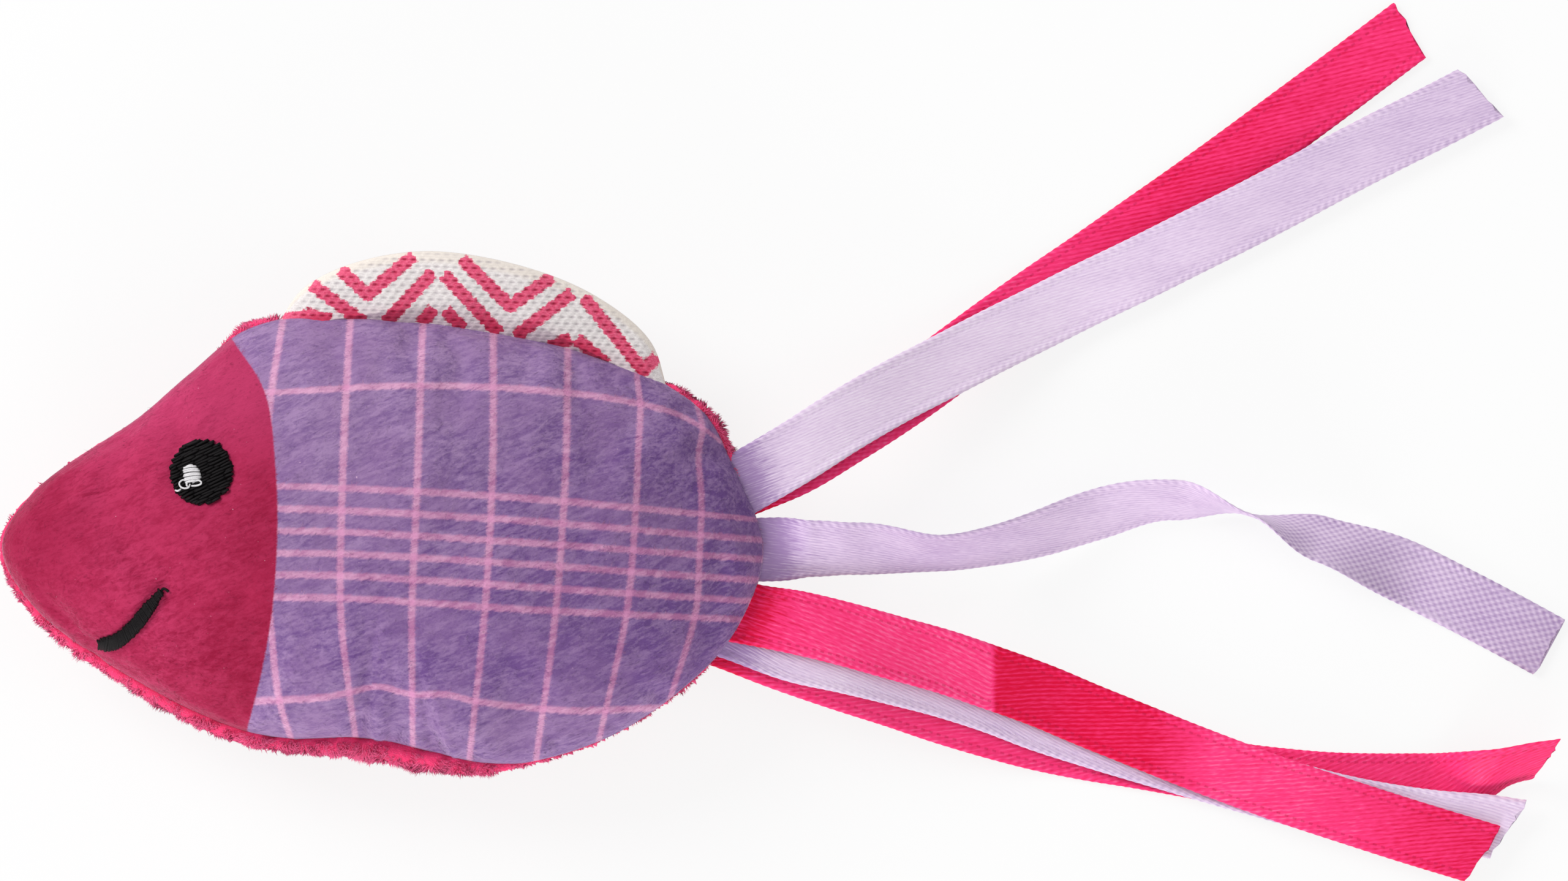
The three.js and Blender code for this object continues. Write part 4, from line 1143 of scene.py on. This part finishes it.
BACK_NAP, NAP_JITTER, ROUND_JITTER = np.array([0.75, -0.25, -0.15]), 0.45, 0.03
UNEVEN_LENGTH = 0.75, 1.25
TUFT_BEND, TUFT_LOWER, TUFT_UPPER, TUFT_TAPER, FLOOR_GAP = 0.55, 0.5, 0.55, 0.8, 0.03
BACK_LUMPS = 0.12, 2.2, 21
ROLL_LUMPS = (0.16, 1.7, 54), (0.06, 0.7, 55)
# How the rim's tufts sway along the seam, rise, and differ in length
RIM_SWAY, RIM_RISE, RIM_LENGTHS = (0.75, 1.9, 51), (0.35, 2.3, 52), (0.3, 2.1, 53)
RIM_AROUND, RIM_JITTER, RIM_DEPTH = (-1.6, 1.75), 0.3, 0.05
ROLL_SPOKES, ROLL_SIDES = 900, 14
UP = np.array([0, 0, 1.0])


def back_height(share):
    return np.minimum(EDGE + BACK_CROWN * swell(share), SEAM_Z)


def back_roll(theta):
    return plush_roll(theta) * 0.6 - 0.25


def rim_pile(theta):
    return by_angle(RIM_PILE, theta)


def back_cloth():
    theta = turns(BACK_SPOKES)
    low = SEAM_Z - EDGE
    rings = [pole(CLOTH_INSET)]
    for s in np.concatenate([dome_shares(BACK_RINGS), [1.0]]):
        ring = body_ring(SEAM_Z - back_height(s), s, 0, back_roll(theta), theta)
        ring[:, 2] = np.maximum(ring[:, 2], CLOTH_INSET)
        rings.append(ring + uneven(ring, BACK_LUMPS)[:, None] * UP * (1 - s**8))
    for z, inset in ((low, 0.9), (low, SEAM_ALLOWANCE), (low - BACK_CLOTH, SEAM_ALLOWANCE)):
        rings.append(body_ring(z, 1.0, inset, 0, theta))
    lip = share_at_swell(BACK_CLOTH / (BACK_CROWN - BACK_CLOTH))
    for s in np.concatenate([[lip], dome_shares(BACK_INNER_RINGS, lip)[::-1]]):
        rings.append(body_ring(low - BACK_INNER * swell(s), s, BACK_CLOTH, 0, theta))
    rings.append(pole(low - BACK_INNER))
    vertices, faces = loft(rings)
    made = piece("back_plush_cloth", vertices, [face[::-1] for face in faces], plush_finish)
    point_values(made, "tip", np.full(len(vertices), 0.0))
    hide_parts("back_panel")
    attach(made, "fish")


def tufts(roots, outs, leans, lengths, widths):
    """Small bent cones of fibre. Each has three sides, a middle ring and a point."""
    count = len(roots)
    middle = roots + unit(outs + TUFT_BEND * leans) * lengths[:, None] * TUFT_LOWER
    tip = middle + unit(outs * TUFT_BEND + leans) * lengths[:, None] * TUFT_UPPER
    aside = unit(np.cross(outs, RNG.normal(size=(count, 3))))
    other = np.cross(outs, aside)
    turn = turns(3)[:, None]
    spoke = aside[:, None] * np.cos(turn) + other[:, None] * np.sin(turn)
    low = roots[:, None] + spoke * widths[:, None, None]
    mid = middle[:, None] + spoke * widths[:, None, None] * TUFT_TAPER
    points = np.concatenate([low, mid, tip[:, None]], axis=1)
    points[..., 2] = np.maximum(points[..., 2], FLOOR_GAP)
    shape = []
    for k, n in ((0, 1), (1, 2), (2, 0)):
        shape += [(k, n, 3 + n), (k, 3 + n, 3 + k), (3 + k, 3 + n, 6)]
    shape.append((2, 1, 0))
    faces = (np.arange(count) * TUFT_POINTS)[:, None, None] + np.array(shape)
    tone = np.tile([0.0, 0, 0, 0.6, 0.6, 0.6, 1.0], count)
    return points.reshape(-1, 3), faces.reshape(-1, 3).tolist(), tone


def rim_roll_line(theta):
    """The middle line of the plush roll beside the front cloth: reach, height and the two radii."""
    width, shy = rim_pile(theta), drawn_in(theta)
    middle = body_reach(theta) + 0.38 * width - 0.15 + 0.5 * shy
    return middle, SEAM_Z - 0.32 - 0.3 * shy, 0.2 + 0.66 * width - 0.45 * shy, 0.2 + 0.42 * width - 0.2 * shy


def rim_roll():
    theta, turn = turns(ROLL_SPOKES), turns(ROLL_SIDES)
    reach, z, wide, tall = (line[:, None] for line in rim_roll_line(theta))

    def surface(outward, up):
        spokes = theta[:, None]
        return np.stack([outward * np.cos(spokes), outward * np.sin(spokes), up], -1).reshape(-1, 3)

    outward, up = reach + wide * np.cos(turn), z + tall * np.sin(turn)
    points = surface(outward, up)
    swollen = tall * uneven(points, *ROLL_LUMPS).reshape(up.shape)
    points = surface(outward + swollen * np.cos(turn), up + np.minimum(swollen, 0.1) * np.sin(turn))
    return points, np.stack(grid(ROLL_SPOKES, ROLL_SIDES, around=True), 1).tolist()


def back_tufts():
    """Tufts all over the back, denser towards its rim."""
    golden = math.pi * (3 - math.sqrt(5))
    index = np.arange(TUFTS)
    theta = (index * golden + RNG.normal(0, ROUND_JITTER, TUFTS)) % TAU
    level = (index + 0.5) / TUFTS
    inner = np.sqrt(level / INNER_TUFTS) * RIM_SHARE
    rim = RIM_SHARE + (1 - RIM_SHARE) * np.sqrt(np.abs(level - INNER_TUFTS) / (1 - INNER_TUFTS))
    share = np.where(level < INNER_TUFTS, inner, rim)
    z = np.maximum(SEAM_Z - back_height(share), CLOTH_INSET)
    roots = polar((body_reach(theta) + back_roll(theta)) * share, theta, z)
    steep = share**7
    outs = unit(polar(steep, theta, -(1.02 - steep)))
    nap = BACK_NAP + RNG.normal(0, NAP_JITTER, (TUFTS, 3))
    nap = unit(nap - square_to(nap, outs) * 0.5)
    lengths = PILE_LENGTH * RNG.uniform(*UNEVEN_LENGTH, TUFTS)
    lengths *= np.where(share > RIM_SHARE, np.clip(0.25 + rim_pile(theta) / 1.6, 0.2, 0.9), 1.0)
    return tufts(roots - outs * 0.15, outs, nap, lengths, RNG.uniform(*PILE_WIDTH, TUFTS))


def rim_tufts():
    """Fine tufts combed over the roll along the rim. Returns their normals too, which are the roll's."""
    theta = np.sort(RNG.uniform(0, TAU, RIM_TUFTS * 4))
    theta = theta[RNG.uniform(size=len(theta)) < np.clip(rim_pile(theta) - 0.05, 0, 1)]
    count = len(theta)
    around = RNG.uniform(*RIM_AROUND, count)
    reach, z, wide, tall = rim_roll_line(theta)
    outward = polar(1.0, theta)
    roots = outward * (reach + (wide - RIM_DEPTH) * np.cos(around))[:, None]
    roots = roots + UP * (z + (tall - RIM_DEPTH) * np.sin(around))[:, None]
    outs = unit(outward * (np.cos(around) / wide)[:, None] + UP * (np.sin(around) / tall)[:, None])
    sway = uneven(roots, RIM_SWAY)
    lean = 0.6 * outward + sway[:, None] * np.cross(UP, outward)
    lean[:, 2] += uneven(roots, RIM_RISE)
    lean = unit(lean + RNG.normal(0, RIM_JITTER, (count, 3)))
    lengths = (0.3 + rim_pile(theta) * 0.28) * (1 + uneven(roots, RIM_LENGTHS))
    lengths = lengths * RNG.uniform(*UNEVEN_LENGTH, count)
    combed = unit(0.22 * outs + 0.85 * lean)
    made = tufts(roots, combed, lean, lengths, RNG.uniform(*RIM_WIDTH, count))
    return *made, np.repeat(outs, TUFT_POINTS, axis=0)


def joined(*shapes):
    vertices, faces, start = [], [], 0
    for points, sides in shapes:
        vertices.append(points)
        faces += [[start + v for v in face] for face in sides]
        start += len(points)
    return np.vstack(vertices), faces


def pile_piece(name, points, faces, tone, normals=None):
    made = piece(name, points, faces, plush_finish, normals=normals)
    point_values(made, "tip", tone)
    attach(made, "fish")


plush_finish = plush()
back_cloth()
back_pile = back_tufts()
rim_points, rim_faces, rim_tone, rim_normals = rim_tufts()
roll_points, roll_faces = rim_roll()
pile_piece("back_plush_pile", *back_pile)
pile_piece(
    "rim_plush_pile", *joined((rim_points, rim_faces), (roll_points, roll_faces)),
    np.concatenate([0.25 + 0.75 * rim_tone, np.full(len(roll_points), 0.3)]),
    np.vstack([rim_normals, 0 * roll_points]),
)


# Fin
FIN_ALONG, FIN_UP = 250, 84
WARP_PITCH, WEFT_PITCH, WARP_SLOPE, WEFT_SLOPE = 0.96, 0.67, 0.03, 0.05
WEAVE_HEIGHT = 0.11
FIN_BAG = 0.16, 7.0, 31
SLIT_WIDTH, SLIT_HEIGHT, SLIT_DEPTH = 0.33, 0.115, 1.3
STRIPE_HALF = 0.66


def fin_lines(count):
    """The fin's base along the body's back and its top curve, as points from front to rear."""
    theta = np.linspace(0.3, math.pi - 0.9, 3000)
    edge = polar(body_reach(theta) + plush_roll(theta) + FIN_GAP - FIN_TUCK, theta)[::-1, :2]
    base = edge[(edge[:, 0] >= FIN_FRONT_X) & (edge[:, 0] <= FIN_REAR_X)]
    over = np.vstack([base[-1], FIN_TOP, base[0]])
    return spaced(base, count), spaced(centripetal(over)[::-1], count)


fin_base, fin_top = fin_lines(FIN_ALONG + 1)
fin_middle = (spaced(fin_base, 3)[1] + spaced(fin_top, 3)[1]) / 2
fin_reach = polar_reach(np.vstack([fin_base, fin_top[::-1]]), fin_middle)


def stripe_distance(places):
    """How far places are from the middle of the nearest chevron stripe, whose ends are cut square."""
    far = np.full(len(places), 1e3)
    for line in CHEVRONS:
        for a, b in zip(np.array(line[:-1]), np.array(line[1:])):
            length = np.linalg.norm(b - a)
            ahead = (b - a) / length
            gone = (places - a) @ ahead
            past = np.maximum(np.maximum(-gone, gone - length) - STRIPE_HALF / 2, 0)
            aside = np.abs((places - a) @ np.array([-ahead[1], ahead[0]]))
            far = np.minimum(far, np.where(past > 0, np.maximum(aside, STRIPE_HALF + past), aside))
    return far


def fin_cloth(side, name, node):
    even = np.linspace(0, 1, FIN_UP + 1)
    up = 0.5 * (np.sin(np.linspace(-1, 1, FIN_UP + 1) * math.pi / 2) / 2 + 0.5) + 0.5 * even
    flat = fin_base[None] * (1 - up)[:, None, None] + fin_top[None] * up[:, None, None]
    arms = flat - fin_middle
    length = np.linalg.norm(arms, axis=2)
    share = np.clip(length / fin_reach(np.arctan2(arms[..., 1], arms[..., 0])), 0, 1)
    x, y = flat[..., 0], flat[..., 1]
    # The weave: ridges of weft in rows, and a slit where a warp thread dives
    row = y / WEFT_PITCH + WEFT_SLOPE * x
    column = x / WARP_PITCH - WARP_SLOPE * y
    cell = column + 0.5 * np.floor(row)
    ridge = np.abs(np.sin(math.pi * row)) ** 0.6
    slit_x = (cell - np.floor(cell) - 0.5) * WARP_PITCH
    slit_y = (row - np.floor(row) - 0.5) * WEFT_PITCH
    slit = np.exp(-((slit_x / SLIT_WIDTH) ** 2) - (slit_y / SLIT_HEIGHT) ** 2)
    over = ridge * (0.7 + 0.3 * np.cos(TAU * cell)) - SLIT_DEPTH * slit
    # Painted shade in the hollows of the weave
    painted_hollow_shade = np.clip(SLIT_DEPTH * slit + 0.35 * (1 - ridge), 0, 1)
    calm = smoothstep(1 - share, 0.0, 0.1)
    bag = uneven(flat_points(x.ravel(), y.ravel()), FIN_BAG).reshape(x.shape) * calm
    height = EDGE + FIN_CROWN * swell(share) + bag + WEAVE_HEIGHT * over * calm
    inner = np.maximum(EDGE + (FIN_CROWN - FIN_CLOTH) * swell(share) + bag - 0.02, EDGE)
    outside = np.dstack([flat, SEAM_Z + side * height])
    shrink = fin_middle + arms * (1 - FIN_CLOTH / np.maximum(length, 2))[..., None]
    inside = np.dstack([shrink, SEAM_Z + side * np.where(share >= 0.999, EDGE, inner * 0.9)])
    rows, columns = x.shape
    a, b, c, d = grid(rows, columns, across=False)
    quads = np.stack([a, d, c, b], 1)
    total = rows * columns
    rim = np.concatenate([
        np.arange(columns), np.arange(1, rows) * columns + columns - 1,
        total - 2 - np.arange(columns - 1), np.arange(rows - 2, 0, -1) * columns,
    ])
    n = np.roll(rim, -1)
    faces = np.vstack([quads, quads[:, ::-1] + total, np.stack([rim, rim + total, n + total, n], 1)])
    if side < 0:
        faces = faces[:, ::-1]
    vertices = np.vstack([outside.reshape(-1, 3), inside.reshape(-1, 3)])
    made = piece(name, vertices, faces.tolist(), canvas_finish)
    # The print follows the cells of the weave by about half
    cell_y = (np.floor(row) + 0.5 - WEFT_SLOPE * x) * WEFT_PITCH
    cell_x = (np.round(2 * column) / 2 + WARP_SLOPE * y) * WARP_PITCH
    places = 0.55 * flat.reshape(-1, 2) + 0.45 * np.dstack([cell_x, cell_y]).reshape(-1, 2)
    far = stripe_distance(places)
    point_values(made, "stripe", np.concatenate([far, far + 9]))
    raised = np.broadcast_to(up[:, None], x.shape)
    # base is the painted shade towards the fin's base
    turned, base = smoothstep(raised, 0.8, 0.93), 1 - smoothstep(raised, 0.14, 0.42)
    for key, values in (("painted_hollow_shade", painted_hollow_shade * calm), ("turned", turned), ("base", base)):
        point_values(made, key, np.concatenate([values.ravel(), 0 * far]))
    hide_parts(node)
    bend_at(made)


def bend_at(made):
    """Bakes the piece's place into its mesh."""
    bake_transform(made)


canvas_finish = canvas()
fin_cloth(1, "fin_front_canvas", "fin_front_cloth")
fin_cloth(-1, "fin_back_canvas", "fin_back_cloth")


# Face
STITCH_POINTS = 9
EYE_SLANT = math.radians(24)
EYE_THREAD, HIGHLIGHT_THREAD, LOOP_THREAD, MOUTH_THREAD = 0.14, 0.115, 0.09, 0.115
EYE_LAYERS = ((0, 0.26), (1, 0.3))
EYE_STITCH, EYE_FIRST_STITCH, EYE_SHORTEST, EYE_LAST = (1.3, 2.2), (0.5, 1.6), 0.35, 0.45
EYE_ROUND = 6.35
EYE_LAYER_RISE, EYE_SINK, EYE_ARCH, EYE_OVER = 0.22, 0.02, 0.2, 0.02
ROW_JITTER, REACH_JITTER, STITCH_JITTER, MOUTH_JITTER = 0.03, 0.1, 0.02, 0.05
# Rows of the highlight: y, and x from left to right. Then its two loose loops, a bar and a stray end
HIGHLIGHT_ROWS = [
    (8.74, -20.75, -20.1), (8.54, -21.0, -19.75), (8.33, -21.05, -19.55), (8.13, -21.0, -19.4),
    (7.92, -20.95, -19.35), (7.71, -21.0, -19.3), (7.5, -20.9, -19.25), (7.3, -20.95, -19.4),
    (7.1, -20.8, -19.6),
]
HIGHLIGHT_LOOPS = [
    [(-20.7, 7.35), (-21.2, 7.25), (-21.45, 6.95), (-21.3, 6.6), (-20.9, 6.45), (-20.5, 6.55), (-20.35, 6.9)],
    [(-20.1, 7.0), (-19.6, 7.25), (-19.25, 7.15), (-19.2, 6.95), (-19.6, 6.75), (-20.2, 6.7)],
    [(-20.55, 7.2), (-20.7, 6.8), (-20.5, 6.55)],
    [(-21.3, 6.35), (-21.6, 6.2), (-21.85, 6.25)],
]
HIGHLIGHT_LIFT, LOOP_POINTS = 0.5, 22
MOUTH_STITCHES = 64
MOUTH_HOOK = [(-23.35, -4.1), (-23.1, -3.75), (-22.75, -3.85), (-22.55, -4.05)]


def eye_stitches():
    """Rows of black stitches that slant up to the right and dive into the cloth at their ends."""
    ahead = np.array([math.cos(EYE_SLANT), math.sin(EYE_SLANT)])
    aside = np.array([-ahead[1], ahead[0]])
    oval = np.array([EYE_WIDTH, EYE_HEIGHT]) / EYE_ROUND
    half = (EYE_WIDTH + EYE_HEIGHT) / 4
    t = np.linspace(0, 1, STITCH_POINTS)
    arch = np.sin(math.pi * t) ** 0.5
    paths = []
    for layer, pitch in EYE_LAYERS:
        rows = int(EYE_HEIGHT * 1.08 / pitch)
        for r in range(rows):
            off = (r - (rows - 1) / 2) * pitch + RNG.normal(0, ROW_JITTER)
            reach = math.sqrt(max(half**2 - off**2, 0)) + RNG.normal(EYE_OVER, REACH_JITTER)
            if reach < EYE_SHORTEST:
                continue
            place = -reach
            length = RNG.uniform(*EYE_FIRST_STITCH)
            while place < reach - 0.05:
                end = min(place + length, reach)
                if reach - end < EYE_LAST:
                    end = reach
                length = RNG.uniform(*EYE_STITCH)
                s = place + (end - place) * t
                wob = off + RNG.normal(0, STITCH_JITTER) + 0.03 * np.sin(t * 3 + RNG.uniform(0, 6))
                flat = EYE_CENTRE + (ahead * s[:, None] + aside * wob[:, None]) * oval
                lift = EYE_LAYER_RISE * layer - EYE_SINK + EYE_ARCH * arch + RNG.normal(0, STITCH_JITTER)
                paths.append(on_front(flat, lift))
                place = end
    return tubes(paths, [EYE_THREAD] * len(paths))


def pad(centre, width, height, low, high, rings=7, sides=48):
    """A domed oval pad on the front cloth, under the stitches."""
    theta = turns(sides)
    middle = np.array(centre)

    def ring(share, lift):
        return on_front(middle + polar(share, theta)[:, :2] * [width / 2, height / 2], lift)

    shares = [(k + 1) / rings for k in range(rings)]
    tip = on_front(middle[None], 0.0)
    upper = [ring(s, low + (high - low) * math.sqrt(1 - s**4)) for s in shares]
    lower = [ring(s, low) for s in shares[::-1]][1:]
    return loft([tip + [0, 0, high], *upper, *lower, tip + [0, 0, low]])


def highlight_stitches():
    """White stitches across the eye, with two loose loops below and a stray end."""
    t = np.linspace(0, 1, STITCH_POINTS)
    paths, radii = [], []
    for y, x0, x1 in HIGHLIGHT_ROWS:
        ys = y + 0.16 * (t - 0.5) + 0.08 * np.sin(t * math.pi) + RNG.normal(0, ROW_JITTER)
        flat = np.column_stack([x0 + (x1 - x0) * t, ys])
        paths.append(on_front(flat, HIGHLIGHT_LIFT + 0.26 * np.sin(t * math.pi) ** 0.6))
        radii.append(HIGHLIGHT_THREAD)
    for loop in HIGHLIGHT_LOOPS:
        rise = 0.3 * np.sin(np.linspace(0, 1, LOOP_POINTS) * math.pi)
        paths.append(on_front(spaced(centripetal(loop), LOOP_POINTS), HIGHLIGHT_LIFT + rise))
        radii.append(LOOP_THREAD)
    return tubes(paths, radii)


def mouth_stitches():
    """Satin stitches across the mouth line, close together, narrower at the upper end."""
    line = spaced(centripetal(MOUTH_LINE), MOUTH_STITCHES)
    ahead = unit(np.gradient(line, axis=0))
    t = np.linspace(-1, 1, STITCH_POINTS)
    paths, radii = [], []
    for layer, lean in ((0, -0.25), (1, 0.35)):
        for k in range(MOUTH_STITCHES):
            share = k / (MOUTH_STITCHES - 1)
            half = MOUTH_WIDTH / 2 * (0.55 + 0.5 * smoothstep(share, 0.0, 0.3))
            half *= 1 + 0.3 * share - 0.5 * smoothstep(share, 0.9, 1.0)
            across = np.array([-ahead[k, 1], ahead[k, 0]]) + ahead[k] * lean
            half += RNG.normal(0, MOUTH_JITTER)
            flat = line[k] + across * (t * half)[:, None] + RNG.normal(0, STITCH_JITTER, 2)
            paths.append(on_front(flat, 0.1 + 0.14 * layer + 0.32 * np.sqrt(np.clip(1 - t**2, 0, 1))))
            radii.append(MOUTH_THREAD)
    paths.append(on_front(spaced(centripetal(MOUTH_HOOK), 12), 0.25))
    radii.append(EYE_THREAD)
    return tubes(paths, radii)


def stitched(name, shape, finish, node):
    made = piece(name, *shape, finish)
    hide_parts(node)
    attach(made, "fish")


black_thread = thread_finish("black_embroidery", srgb(3, 3, 4), srgb(26, 22, 24), 0.5, 0.1)
white_thread = thread_finish("white_embroidery", srgb(196, 193, 196), srgb(238, 236, 238), 0.5)
eye_shape = joined(pad(EYE_CENTRE, EYE_WIDTH - 0.5, EYE_HEIGHT - 0.5, -0.1, 0.25), eye_stitches())
stitched("eye_black_stitches", eye_shape, black_thread, "eye_patch")
stitched("eye_white_stitches", highlight_stitches(), white_thread, "eye_highlight")
stitched("mouth_black_stitches", mouth_stitches(), black_thread, "mouth_stitch")


# Inside pieces and threads, which keep their solids' places
def dressed(node, name, finish, voxel, rough, wavelength, body):
    """A finer copy of a solid, with a loose surface that stays within it."""
    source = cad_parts[node].data
    points = np.array([v.co for v in source.vertices]) / MM
    made = piece(name, points, [list(p.vertices) for p in source.polygons], finish)
    co = remeshed(made, voxel * MM) / MM
    mesh = made.data
    normal = np.array([v.normal for v in mesh.vertices])
    depth = rough * (0.5 + 0.5 * np.clip(lumps(co, wavelength, 41), -1, 1))
    co = co - normal * depth[:, None]
    mesh.vertices.foreach_set("co", (co * MM).astype(np.float32).ravel())
    mesh.polygons.foreach_set("use_smooth", np.full(len(mesh.polygons), True))
    mesh.update()
    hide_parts(node)
    if body == "fin":
        bend_at(made)
    else:
        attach(made, body)
    return made


white_fibre = fibre_finish("white_fibre", srgb(222, 220, 214), srgb(250, 249, 246), 2.4)
herb = fibre_finish("dried_herb", srgb(74, 84, 42), srgb(150, 156, 96), 1.8)
felt = fibre_finish("white_backing", srgb(226, 225, 220), srgb(248, 248, 245), 4.0)
batting = dressed("fibre_filling", "fibre_batting", white_fibre, 0.8, 0.5, 2.6, "fish")
crumbs = dressed("catnip_filling", "catnip_crumbs", herb, 0.4, 0.7, 1.5, "fish")
wadding = dressed("fin_wadding", "fin_batting", white_fibre, 0.35, 0.3, 2.2, "fin")
dressed("embroidery_backing", "backing_felt", felt, 0.14, 0.06, 0.8, "fish")
seam_thread = thread_finish("sewing_thread", srgb(140, 62, 108), srgb(190, 100, 150), 0.6)
cream_thread = thread_finish("cream_thread", srgb(214, 204, 190), srgb(242, 236, 226), 0.6)
sewn = (("body_seam_thread", seam_thread), ("closing_thread", seam_thread), ("fin_seam_thread", cream_thread))
for node, finish in sewn:
    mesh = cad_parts[node].data
    mesh.materials.clear()
    mesh.materials.append(finish)
